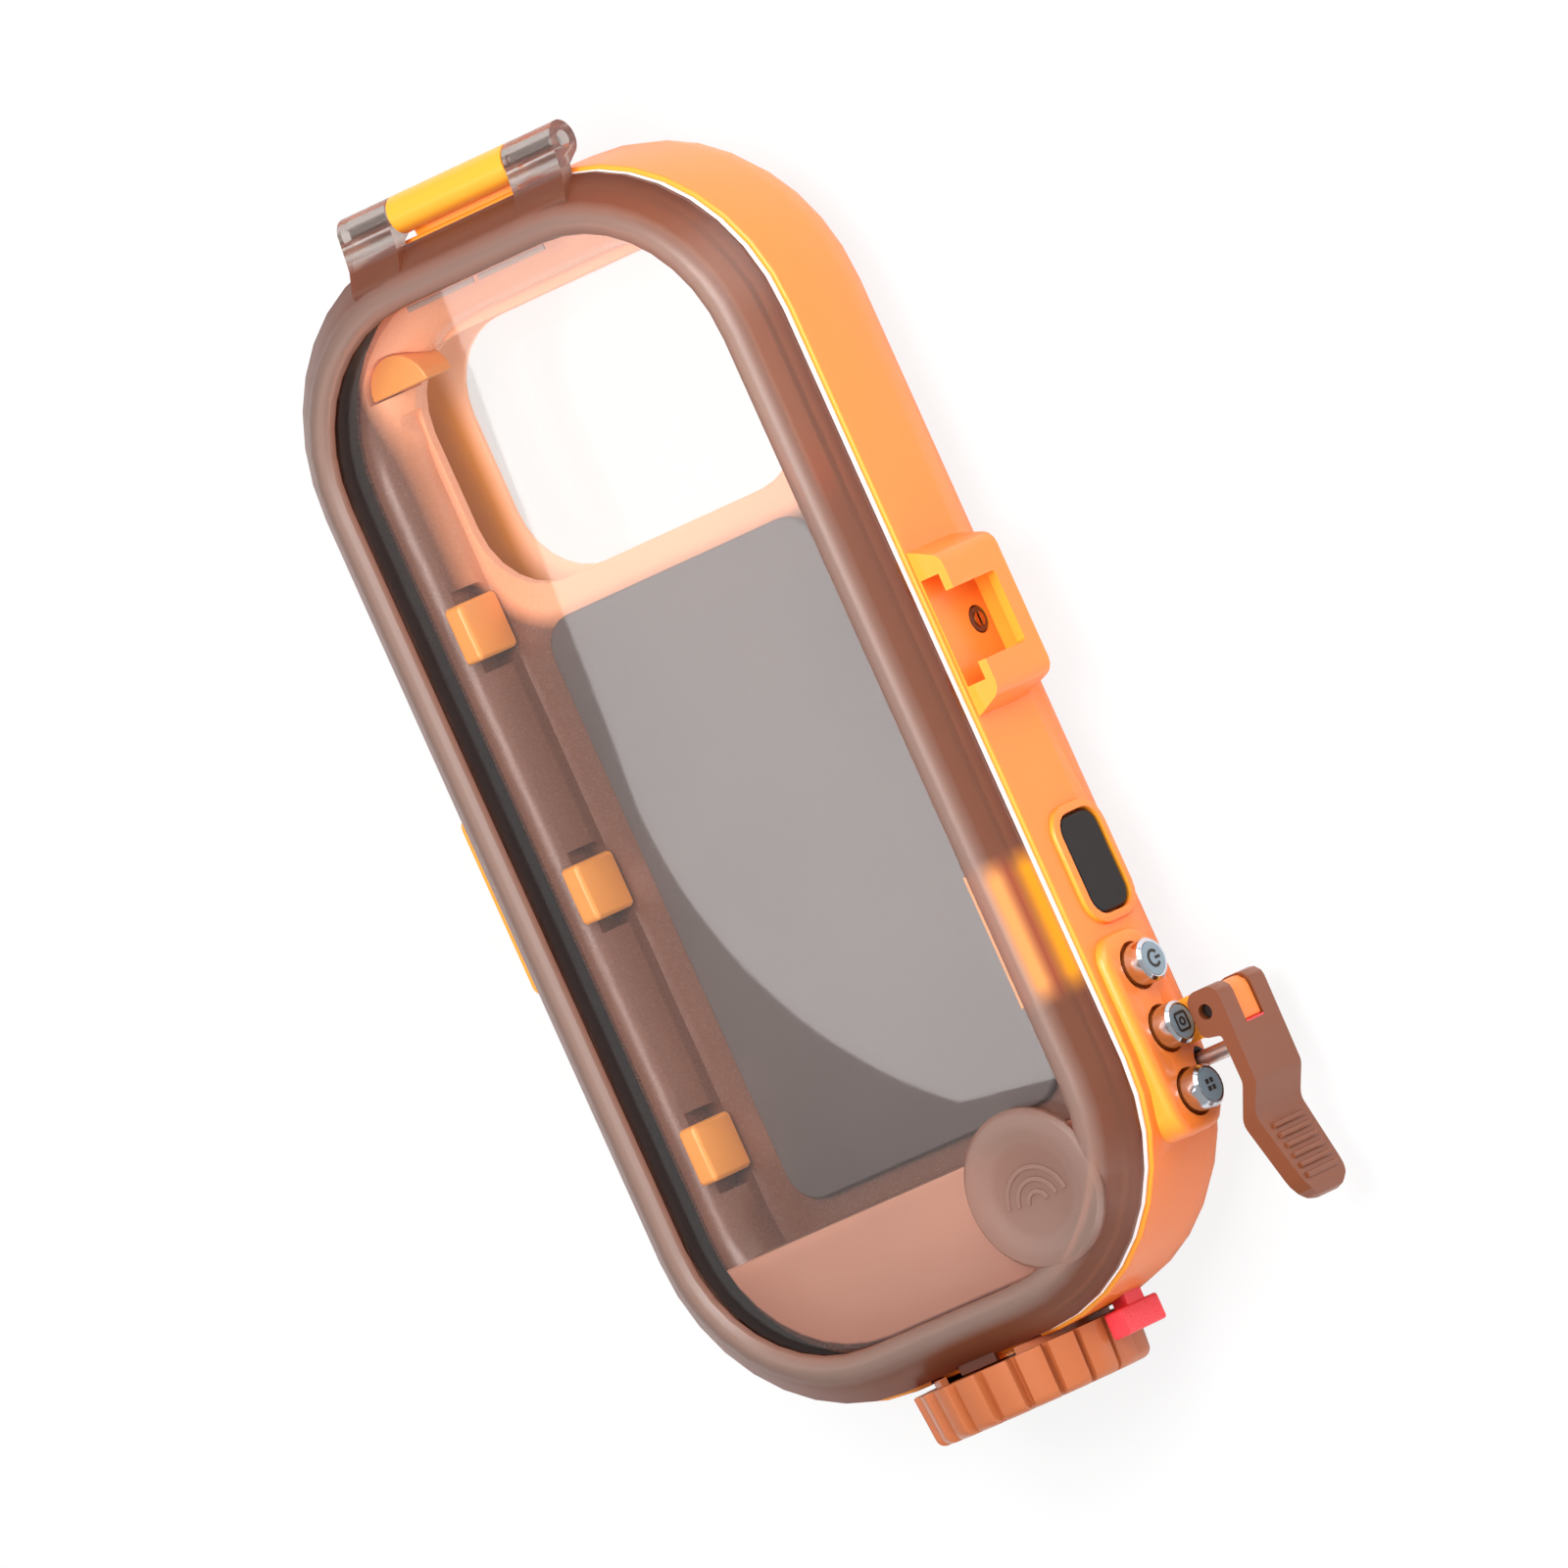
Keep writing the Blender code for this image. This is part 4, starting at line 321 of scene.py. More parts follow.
def paint_top_light(tree, place, colour, warm):
    """The colour with painted light: a painted highlight on the hinge knuckle and on faces that look up, and
    painted shade towards the knob's end.
    """
    up = axis(tree, add(tree, "ShaderNodeTexCoord").outputs["Normal"], "Z")
    facing = between(tree, up, *TOP_FACING, 0.0, TOP_SHARE)
    along = axis(tree, place, "Y")
    first, last = KNUCKLE_EDGE
    knuckle = between(tree, along, CASE_HALF.y + first, CASE_HALF.y + last)
    end_shade = between(tree, along, -CASE_HALF.y, -CASE_HALF.y + SHADED_END_LENGTH, SHADED_END_SHARE, 0.0)
    colour = blended(tree, end_shade, colour, linear(END_SHADE_ORANGE))
    return blended(tree, maths(tree, "MAXIMUM", facing, knuckle), colour, warm)


def moulded_plastic(name, colour, roughness, grain_mm=0.35, relief=0.25, mottle=0.05, coat=0.0, inside=None,
                    lit=None, warm=None, metallic=0.0, ior=1.5):
    """Injection-moulded plastic: even colour with slight flow mottle, and the mould's fine spark texture.

    The colours warm, inside and lit are painted light and shade: a painted highlight on tops and the hinge
    knuckle, painted shade towards the knob's end and inside the wall, and a painted glow round the camera
    window.
    """
    made, tree, output, place = start_material(name)
    stops = [(0.3, shade(colour, 1 - mottle)), (0.7, shade(colour, 1 + mottle))]
    tint = ramp(tree, noise(tree, place, FLOW_SIZE), stops)
    if warm:
        tint = paint_top_light(tree, place, tint, warm)
    if inside:
        tint = painted_wall_shade(tree, place, tint, inside)
    if lit:
        glow = painted_window_glow(tree, place)
        tint = blended(tree, glow, tint, lit)
    grain = noise(tree, place, grain_mm * MM)
    shader = add(tree, "ShaderNodeBsdfPrincipled", inputs={
        "Base Color": tint, "IOR": ior, "Metallic": metallic, "Coat Weight": coat, "Coat Roughness": 0.12,
        "Roughness": between(tree, grain, 0.0, 1.0, roughness - 0.05, roughness + 0.06),
        "Normal": bumps(tree, grain, relief, GRAIN_DEPTH)})
    if lit:
        shader.inputs["Emission Color"].default_value = lit
        tree.links.new(between(tree, glow, 0.0, 1.0, 0.0, GLOW_EMISSION), shader.inputs["Emission Strength"])
    tree.links.new(shader.outputs["BSDF"], output.inputs["Surface"])
    return made


def let_light_through(tree, shader, colour):
    """The shader with a plain see-through pass for lamps' rays, as caustics would take too long."""
    path = add(tree, "ShaderNodeLightPath").outputs
    lamps = maths(tree, "MAXIMUM", path["Is Shadow Ray"], path["Is Diffuse Ray"])
    clear = add(tree, "ShaderNodeBsdfTransparent", inputs={"Color": colour})
    return mixed(tree, lamps, shader.outputs["BSDF"], clear.outputs["BSDF"])


def clear_sheet(name, colour, roughness):
    """Polished clear sheet: faint waviness bends the reflections a little, as in real moulded sheet."""
    made, tree, output, place = start_material(name)
    waves = noise(tree, place, WAVE_SIZE, 1.0)
    shader = add(tree, "ShaderNodeBsdfPrincipled", inputs={
        "Base Color": ramp(tree, waves, [(0.3, shade(colour, 0.99)), (0.7, colour)]),
        "Roughness": roughness, "Transmission Weight": 1.0, "IOR": 1.49,
        "Normal": bumps(tree, waves, 0.15, WAVE_DEPTH)})
    tree.links.new(let_light_through(tree, shader, colour), output.inputs["Surface"])
    return made


def painted_clamp_show_through(tree, place):
    """A painted show-through of the orange clamp on the frosted rim over it, in painted bright and dark bands:
    its share, and its colour across.
    """
    low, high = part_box("phone_clamp")
    along = axis(tree, place, "Y")
    inside = between(tree, along, low.y - 1.5 * MM, low.y + 2.5 * MM)
    upper = between(tree, along, high.y - 2.5 * MM, high.y + 1.5 * MM, 1.0, 0.0)
    first, last = CLAMP_BAND_ACROSS
    across = between(tree, axis(tree, place, "X"), CASE_HALF.x - first, CASE_HALF.x - last)
    dark, bright = linear("#000000"), linear("#FFFFFF")
    bands = ramp(tree, across, [(0.20, dark), (0.40, bright), (0.50, bright), (0.66, dark), (0.86, bright)])
    share = maths(tree, "MULTIPLY", maths(tree, "MULTIPLY", inside, upper), bands)
    return share, ramp(tree, across, [(0.6, linear("#F0A058")), (0.7, linear("#E89400"))])


def frosted_plastic(name, foot, body, crest, clear):
    """Frosted smoke plastic: dark at its foot, with a painted sheen along its crest and a painted show-through
    of the clamp in orange bands.

    The hinge arms are clearer and paler than the ring.
    """
    made, tree, output, place = start_material(name)
    height = between(tree, axis(tree, place, "Z"), WINDOW_LOW.z - RIM_FOOT_DROP, RIM_HIGH.z - RIM_CREST_DROP)
    tint = ramp(tree, height, [(0.0, foot), (0.4, body), (0.7, body), (0.97, crest)])
    first, last = ARM_EDGE
    arm = between(tree, axis(tree, place, "Y"), CASE_HALF.y - first, CASE_HALF.y + last)
    share, orange = painted_clamp_show_through(tree, place)
    tint = blended(tree, share, blended(tree, arm, tint, clear), orange)
    dense = maths(tree, "SUBTRACT", between(tree, arm, 0.0, 1.0, 0.70, 0.95),
                  between(tree, share, 0.0, 1.0, 0.0, 0.5))
    shader = add(tree, "ShaderNodeBsdfPrincipled", inputs={
        "Base Color": tint, "Roughness": between(tree, arm, 0.0, 1.0, 0.36, 0.14), "IOR": 1.49,
        "Transmission Weight": dense,
        "Normal": bumps(tree, noise(tree, place, FROST_SIZE), 0.3, GRAIN_DEPTH)})
    tree.links.new(let_light_through(tree, shader, shade(body, 1.5)), output.inputs["Surface"])
    return made


def worked_metal(name, colour, roughness, stretch=(1.0, 1.0, 40.0), line_mm=0.12):
    """Machined metal: fine tool lines that vary the gloss, drawn wider than real so that they show."""
    made, tree, output, place = start_material(name)
    lines = add(tree, "ShaderNodeMapping", inputs={"Vector": place, "Scale": stretch}).outputs["Vector"]
    brushed = noise(tree, lines, line_mm * 40 * MM, 3.0)
    shader = add(tree, "ShaderNodeBsdfPrincipled", inputs={
        "Base Color": colour, "Metallic": 1.0,
        "Roughness": between(tree, brushed, 0.0, 1.0, roughness - 0.06, roughness + 0.10)})
    tree.links.new(shader.outputs["BSDF"], output.inputs["Surface"])
    return made


def colour_property(name, text, colour):
    return bpy.props.FloatVectorProperty(name=name, description=text, subtype="COLOR", size=4, min=0.0,
                                         max=1.0, default=linear(colour))


def length_property(name, text, millimetres):
    return bpy.props.FloatProperty(name=name, description=text, default=millimetres * MM, min=0.0,
                                   unit="LENGTH", subtype="DISTANCE", precision=5)


class CaseColours(bpy.types.PropertyGroup):
    """Colours of the moulded, clear, rubber and metal pieces."""
    shell: colour_property("Shell", "Orange of the rear shell", "#FC822E")
    rim: colour_property("Cover rim", "Smoke tint of the frosted rim", "#9C6044")
    # The crest colour is a painted sheen.
    crest: colour_property("Rim crest", "Paler tint along the crest of the rim", "#C4A799")
    liner: colour_property("Liner", "Brown of the inner tray", "#6B4636")
    brown: colour_property("Lever", "Brown of the shutter lever", "#7A3E1F")
    knob: colour_property("Knob", "Copper brown of the lock knob", "#B5643A")
    disc: colour_property("Button discs", "Blue-grey of the discs in the buttons", "#8496A2")
    grip: colour_property("Grips", "Orange of the bumpers and the clamp", "#F0A24E")
    plate: colour_property("Electronics cover", "Brown of the cover over the cells", "#B58571")
    lock: colour_property("Lock tab", "Red of the lock tab", "#EE3A45")
    seal: colour_property("Seal", "Pale silicone of the main seal", "#F4ECEA")
    steel: colour_property("Steel", "Turned stainless steel", "#C3C8CC")


class CaseSizes(bpy.types.PropertyGroup):
    """Edge and trim sizes that finish the mouldings."""
    edge: length_property("Edge radius", "Rounding on the mouldings' edges", 0.35)
    fine_edge: length_property("Fine edge radius", "Rounding on small and metal pieces", 0.15)
    smooth_angle: bpy.props.FloatProperty(
        name="Smooth angle", description="Edges flatter than this are shaded smooth",
        default=math.radians(32), min=0.0, max=math.pi, subtype="ANGLE")


class CaseStage(bpy.types.PropertyGroup):
    """Camera and lights."""
    tilt: bpy.props.FloatProperty(
        name="Tilt", description="Camera's lean from straight above, towards +X",
        default=math.radians(37.2), subtype="ANGLE")
    roll: bpy.props.FloatProperty(
        name="Roll", description="Turn of the picture about the camera's axis",
        default=math.radians(24.2), subtype="ANGLE")
    span: length_property("Picture width", "Width that the picture covers at the case", 259.4)
    lens: bpy.props.FloatProperty(
        name="Lens", description="Focal length in millimetres", default=800.0, min=50.0)
    card: bpy.props.FloatProperty(
        name="Reflection", description="Strength of the light card that the window mirrors",
        default=5.0, min=0.0)


def placed(name, data):
    """A new object in the scene."""
    thing = bpy.data.objects.new(name, data)
    bpy.context.scene.collection.objects.link(thing)
    return thing


def mesh_from(name, bm):
    """The mesh of a bmesh, which is used up."""
    mesh = bpy.data.meshes.new(name)
    bm.to_mesh(mesh)
    bm.free()
    return mesh


def put(name, mesh, finish, body, replaces=()):
    """Shows a finished mesh as a piece that rides on a body."""
    piece = placed(name, mesh)
    mesh.name = name
    mesh.materials.clear()
    mesh.materials.append(finish)
    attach(piece, body)
    if replaces:
        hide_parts(*replaces)


def baked(thing):
    """The thing's mesh with its modifiers applied; the thing itself is removed."""
    graph = bpy.context.evaluated_depsgraph_get()
    mesh = bpy.data.meshes.new_from_object(thing.evaluated_get(graph))
    data = thing.data
    bpy.data.objects.remove(thing)
    bpy.data.meshes.remove(data)
    return mesh


def rounded(name, bm, edge, segments=2):
    """The mesh of a bmesh, smooth on its curves, with its sharp edges rounded unless edge is zero."""
    bmesh.ops.recalc_face_normals(bm, faces=bm.faces)
    mesh = mesh_from(name, bm)
    angle = bpy.context.scene.case_sizes.smooth_angle
    mesh.shade_smooth()
    mesh.set_sharp_from_angle(angle=angle)
    if edge == 0.0:
        return mesh
    draft = placed(name + "_draft", mesh)
    bevel = draft.modifiers.new("rounded edges", "BEVEL")
    bevel.width = edge
    bevel.segments = segments
    bevel.limit_method = "ANGLE"
    bevel.angle_limit = angle
    bevel.harden_normals = True
    return baked(draft)


def dressed(node, name, finish, edge, segments=2):
    """A welded copy of a CAD solid with smooth curves and rounded edges, shown in its place."""
    source = frame["nodes"][node]
    bm = bmesh.new()
    bm.from_mesh(source.data)
    bmesh.ops.remove_doubles(bm, verts=bm.verts, dist=0.002 * MM)
    bmesh.ops.dissolve_limit(bm, angle_limit=math.radians(0.6), verts=bm.verts, edges=bm.edges)
    put(name, rounded(name, bm, edge, segments), finish, source["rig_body"], [node])


def on_wall(node):
    """The middle of a node's outer face on the right wall, as a place for flat drawings."""
    low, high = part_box(node)
    return Matrix.Translation((high.x, (low.y + high.y) / 2, (low.z + high.z) / 2)) @ ON_RIGHT_WALL


def around(radius, first=0.0, last=360.0, steps=40, centre=(0.0, 0.0)):
    """Points on an arc, angles in degrees; a full turn leaves out its last point."""
    count = steps if last - first == 360.0 else steps + 1
    angles = [math.radians(first + (last - first) * step / steps) for step in range(count)]
    return [(centre[0] + radius * math.cos(a), centre[1] + radius * math.sin(a)) for a in angles]


def round_square(half, corner):
    """The outline of a square with rounded corners."""
    inner = half - corner
    return [point for turn, (x, y) in enumerate(((1, 1), (-1, 1), (-1, -1), (1, -1)))
            for point in around(corner, 90.0 * turn, 90.0 * turn + 90.0, 4, (x * inner, y * inner))]


def slab(bm, outline, low, high, place):
    """A flat outline given thickness from low to high, and set by place."""
    rings = [[bm.verts.new(place @ Vector((u, v, level))) for u, v in outline] for level in (low, high)]
    bm.faces.new(rings[0][::-1])
    bm.faces.new(rings[1])
    for index in range(len(outline)):
        after = (index + 1) % len(outline)
        bm.faces.new((rings[0][index], rings[0][after], rings[1][after], rings[1][index]))


def ridge(bm, path, width, low, high, place, closed=False):
    """A raised line of one width along a path, set by place."""
    sections = []
    for index, spot in enumerate(path):
        ahead = path[(index + 1) % len(path)] if closed or index + 1 < len(path) else spot
        back = path[index - 1] if closed or index > 0 else spot
        along = (Vector(ahead) - Vector(back)).normalized()
        side = Vector((-along.y, along.x)) * width / 2
        left, right = Vector(spot) + side, Vector(spot) - side
        corners = ((left, low), (right, low), (right, high), (left, high))
        sections.append([bm.verts.new(place @ Vector((point.x, point.y, level))) for point, level in corners])
    pairs = list(zip(sections, sections[1:] + sections[:1]))
    for first, second in pairs if closed else pairs[:-1]:
        for corner in range(4):
            after = (corner + 1) % 4
            bm.faces.new((first[corner], first[after], second[after], second[corner]))
    if not closed:
        bm.faces.new(sections[0][::-1])
        bm.faces.new(sections[-1])


def repeater():
    """Geometry nodes that repeat a mesh: a line of points, each with one copy turned a step further."""
    found = bpy.data.node_groups.get("repeat_in_steps")
    if found:
        return found
    tree = bpy.data.node_groups.new("repeat_in_steps", "GeometryNodeTree")
    for name, kind in (("Geometry", "Geometry"), ("Count", "Int"), ("Start", "Vector"), ("Offset", "Vector"),
                       ("Turn", "Vector"), ("Material", "Material")):
        tree.interface.new_socket(name, in_out="INPUT", socket_type="NodeSocket" + kind)
    tree.interface.new_socket("Geometry", in_out="OUTPUT", socket_type="NodeSocketGeometry")
    given = add(tree, "NodeGroupInput").outputs
    points = add(tree, "GeometryNodeMeshLine", {"mode": "OFFSET"}, {
        "Count": given["Count"], "Start Location": given["Start"], "Offset": given["Offset"]})
    index = add(tree, "GeometryNodeInputIndex").outputs["Index"]
    turn = add(tree, "ShaderNodeVectorMath", {"operation": "SCALE"}, {0: given["Turn"], "Scale": index})
    turn = add(tree, "FunctionNodeEulerToRotation", inputs={"Euler": turn.outputs[0]})
    copies = add(tree, "GeometryNodeInstanceOnPoints", inputs={
        "Points": points.outputs["Mesh"], "Instance": given["Geometry"],
        "Rotation": turn.outputs["Rotation"]})
    real = add(tree, "GeometryNodeRealizeInstances", inputs={"Geometry": copies.outputs["Instances"]})
    welded = add(tree, "GeometryNodeMergeByDistance", inputs={
        "Geometry": real.outputs["Geometry"], "Distance": 0.005 * MM})
    finished = add(tree, "GeometryNodeSetMaterial", inputs={
        "Geometry": welded.outputs["Geometry"], "Material": given["Material"]})
    add(tree, "NodeGroupOutput", inputs={"Geometry": finished.outputs["Geometry"]})
    return tree


def repeated(name, bm, finish, count, start, offset=(0.0, 0.0, 0.0), turn=(0.0, 0.0, 0.0), edge=0.0):
    """Copies of one mesh, set out by the repeater and joined into a single mesh."""
    draft = placed(name + "_draft", mesh_from(name, bm))
    modifier = draft.modifiers.new("repeat", "NODES")
    modifier.node_group = repeater()
    values = {"Count": count, "Start": tuple(start), "Offset": offset, "Turn": turn, "Material": finish}
    for socket in modifier.node_group.interface.items_tree:
        if socket.in_out == "INPUT" and socket.name in values:
            modifier[socket.identifier] = values[socket.name]
    joined = bmesh.new()
    joined.from_mesh(baked(draft))
    return rounded(name, joined, edge)


def refinish(node, finish):
    """Gives a CAD node that stays as it is a new material."""
    slots = frame["nodes"][node].data.materials
    slots.clear()
    slots.append(finish)


class CASE_OT_shell(bpy.types.Operator):
    """Dress the rear shell and what is fixed in its walls"""
    bl_idname = "case.shell"
    bl_label = "Rear shell"

    def execute(self, context):
        colours, sizes = context.scene.case_colours, context.scene.case_sizes
        # Injection-moulded ABS with a fine spark texture: soft, wide highlights on a warm orange.
        # Painted light on the shell: painted shade on the inner face of its wall, a painted glow round the
        # camera window, a painted highlight on its tops and hinge knuckle, and painted shade towards the knob's
        # end.
        orange = moulded_plastic(
            "moulded_abs_orange", tuple(colours.shell), 0.36, relief=0.2, mottle=0.03, coat=0.12,
            inside=linear("#2B1610"), lit=linear("#FFC39C"), warm=linear("#FFAE30"))
        dressed("rear_shell", "shell_moulding", orange, sizes.edge)
        # Cast acrylic: clear, hard and glossy.
        acrylic = clear_sheet("cast_acrylic_clear", linear("#F7FAFA"), 0.02)
        dressed("camera_window", "camera_pane", acrylic, sizes.fine_edge)
        # Turned stainless steel: bright, with fine tool lines.
        steel = worked_metal("turned_stainless", tuple(colours.steel), 0.24)
        dressed("tripod_insert", "tripod_socket", steel, sizes.fine_edge)
        dressed("hinge_pin", "hinge_rod", steel, sizes.fine_edge)
        return {"FINISHED"}


class CASE_OT_cover(bpy.types.Operator):
    """Dress the cover: frosted rim, catch, window, thumb pad, strips for a painted edge glint, and main seal"""
    bl_idname = "case.cover"
    bl_label = "Cover"

    def execute(self, context):
        colours, sizes = context.scene.case_colours, context.scene.case_sizes
        # Moulded, frosted polycarbonate, smoke tinted: it glows softly and blurs what is behind it.
        # Its crest carries a painted sheen, and over the clamp a painted show-through of the clamp's orange in
        # bands.
        frosted = frosted_plastic("frosted_polycarbonate_smoke", linear("#7A3E24"), tuple(colours.rim),
                                  tuple(colours.crest), linear("#C8BEB9"))
        dressed("cover_rim", "rim_moulding", frosted, sizes.edge, segments=3)
        dressed("cover_catch", "catch_tongue", frosted, sizes.fine_edge)
        # Clear polycarbonate sheet, polished: hard reflections, with a faint warm cast.
        clear = clear_sheet("polished_polycarbonate_clear", linear("#FBF6F4"), 0.015)
        dressed("front_window", "window_pane", clear, sizes.fine_edge)
        # Moulded silicone rubber: pale, matt and slightly milky.
        silicone = moulded_plastic(
            "moulded_silicone_pale", tuple(colours.seal), 0.45, mottle=0.02, relief=0.1)
        dressed("main_seal", "seal_ring", silicone, 0.0)
        self.thumb_pad(frosted)
        # Pale grey-brown, matt strips: a painted highlight, standing in for the glint along the pane's upper
        # edge.
        self.edge_glint_strips(moulded_plastic("painted_edge_glint_grey", linear("#A58C80"), 0.6, relief=0.2))
        return {"FINISHED"}

    def thumb_pad(self, finish):
        """Three nested arcs in the dish of the thumb pad, for grip."""
        bm = bmesh.new()
        for radius in THUMB_ARC_RADII:
            path = around(radius, 5.0, 175.0, 26, (0.0, -THUMB_ARC_DROP))
            ridge(bm, path, THUMB_ARC_WIDTH, *THUMB_ARC_LEVELS, Matrix.Translation(THUMB_PAD_PLACE))
        put("thumb_grips", rounded("thumb_grips", bm, 0.1 * MM), finish, "cover")

    def edge_glint_strips(self, finish):
        """A row of pale strips under the window's upper edge, seen through it: a painted highlight for the pane
        edge's glint.
        """
        half = STRIP_WIDTH / 2
        bm = bmesh.new()
        slab(bm, [(0.0, -half), (STRIP_LENGTH, -half), (STRIP_LENGTH, half), (0.0, half)],
             -STRIP_THICKNESS, 0.0, Matrix())
        place = (STRIP_START_X, CASE_HALF.y - RIM_WIDTH - 0.6 * MM, WINDOW_LOW.z - 0.1 * MM)
        mesh = repeated("pane_edge_glint_strips", bm, finish, 2, place, offset=(STRIP_LENGTH + STRIP_GAP, 0.0, 0.0),
                        edge=0.1 * MM)
        put("pane_edge_glint_strips", mesh, finish, "cover")


class CASE_OT_bay(bpy.types.Operator):
    """Dress what is inside: liner, cushion, bumpers, clamp and electronics"""
    bl_idname = "case.bay"
    bl_label = "Phone bay"

    def execute(self, context):
        colours, sizes = context.scene.case_colours, context.scene.case_sizes
        # Moulded polycarbonate, brown and glossy: narrow bright lines run along its rolled edge.
        # Round the camera window the liner's colour takes a painted glow with emission.
        brown = moulded_plastic(
            "moulded_polycarbonate_brown", tuple(colours.liner), 0.26, relief=0.05, mottle=0.04,
            lit=linear("#E8A47E"))
        dressed("inner_liner", "liner_tray", brown, sizes.edge)
        # Closed-cell foam, cut to shape: matt, dark and finely pitted.
        foam = moulded_plastic(
            "closed_cell_foam_grey", linear("#57504F"), 0.75, grain_mm=0.9, relief=0.6, mottle=0.08)
        dressed("phone_cushion", "cushion_pad", foam, 0.5 * MM)
        # Moulded silicone grips: smooth, warm orange with a soft gloss.
        rubber = moulded_plastic(
            "moulded_silicone_orange", tuple(colours.grip), 0.32, relief=0.05, mottle=0.03)
        for index in (1, 2, 3):
            dressed(f"side_bumper_{index}", f"bumper_{index}", rubber, sizes.edge)
        dressed("top_bumper", "bumper_top", rubber, sizes.edge)
        dressed("phone_clamp", "clamp_jaw", rubber, sizes.edge)
        steel = bpy.data.materials["turned_stainless"]
        for index in (1, 2):
            dressed(f"clamp_rail_{index}", f"rail_{index}", steel, sizes.fine_edge)
        # Moulded ABS: pale brown and satin, without the shell's warm gloss.
        plate = moulded_plastic("moulded_abs_tan", tuple(colours.plate), 0.34, relief=0.1)
        dressed("electronics_cover", "cell_cover", plate, sizes.edge)
        # Film shrunk round the cells: plain, taut and satin.
        film = moulded_plastic("shrink_film_grey", linear("#5B6A78"), 0.35, relief=0.0)
        for index in (1, 2):
            dressed(f"battery_cell_{index}", f"cell_{index}", film, sizes.fine_edge)
        # Solder resist printed on glass-fibre board: green with a slight weave.
        resist = moulded_plastic("solder_resist_green", linear("#1E6B3C"), 0.4, grain_mm=0.5, relief=0.3)
        refinish("circuit_board", resist)
        return {"FINISHED"}


class CASE_OT_buttons(bpy.types.Operator):
    """Dress the push buttons with their seals and clips, and set the discs and icons in their faces"""
    bl_idname = "case.buttons"
    bl_label = "Push buttons"

    def execute(self, context):
        colours = context.scene.case_colours
        # Polished stainless caps: near mirror, so that they pick up the orange round them.
        polished = worked_metal(
            "polished_stainless", linear("#C9CFD6"), 0.12, stretch=(1, 1, 1), line_mm=0.02)
        # Anodised aluminium discs: soft blue-grey, duller than the caps round them.
        self.disc_finish = moulded_plastic(
            "anodised_aluminium_grey", tuple(colours.disc), 0.34, grain_mm=0.25, relief=0.05, metallic=0.35)
        # Fired enamel icons: dark and dull, so that they read against the pale discs.
        self.icon_finish = moulded_plastic(
            "enamel_dark_brown", linear("#241E1C"), 0.6, grain_mm=0.2, relief=0.0)
        steel = bpy.data.materials["turned_stainless"]
        # Moulded nitrile rubber rings: black and matt.
        nitrile = moulded_plastic("nitrile_rubber_black", linear("#1C1B1B"), 0.55, relief=0.1)
        for index, icon in ((1, self.power_icon), (2, self.camera_icon), (3, self.grid_icon)):
            dressed(f"button_{index}", f"push_cap_{index}", polished, 0.0)
            dressed(f"button_clip_{index}", f"stem_clip_{index}", steel, 0.0)
            refinish(f"button_seal_{index}", nitrile)
            self.face(index, icon)
        return {"FINISHED"}

    def face(self, index, icon):
        """A disc in the cap's shallow recess, with a raised icon on it."""
        place = on_wall(f"button_{index}")
        body = frame["nodes"][f"button_{index}"]["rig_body"]
        bm = bmesh.new()
        slab(bm, around(DISC_RADIUS), *DISC_LEVELS, place)
        disc = rounded(f"button_disc_{index}", bm, 0.03 * MM)
        put(f"button_disc_{index}", disc, self.disc_finish, body)
        put(f"button_icon_{index}", icon(f"button_icon_{index}", place), self.icon_finish, body)

    def power_icon(self, name, place):
        """An open ring with a bar in its gap."""
        bm = bmesh.new()
        ridge(bm, around(POWER_RING_RADIUS, -50.0, 230.0, 28), POWER_LINE, *ICON_LEVELS, place)
        ridge(bm, [(0.0, -end) for end in POWER_BAR], POWER_LINE, *ICON_LEVELS, place)
        return rounded(name, bm, 0.0)

    def camera_icon(self, name, place):
        """A ring for the lens in a rounded square for the camera."""
        bm = bmesh.new()
        ridge(bm, round_square(CAMERA_HALF, CAMERA_CORNER), CAMERA_LINE, *ICON_LEVELS, place, closed=True)
        ridge(bm, around(CAMERA_LENS_RADIUS, steps=20), CAMERA_LENS_LINE, *ICON_LEVELS, place, closed=True)
        return rounded(name, bm, 0.0)

    def grid_icon(self, name, place):
        """Four small squares, as two pairs set out by the repeater."""
        bm = bmesh.new()
        for across in (-0.5, 0.5):
            outline = [(across * GRID_PITCH + u, v) for u, v in round_square(GRID_HALF, GRID_CORNER)]
            slab(bm, outline, *GRID_LEVELS, ON_RIGHT_WALL)
        start = place @ Vector((0.0, -GRID_PITCH / 2, 0.0))
        return repeated(name, bm, self.icon_finish, 2, start, offset=(0.0, 0.0, GRID_PITCH))


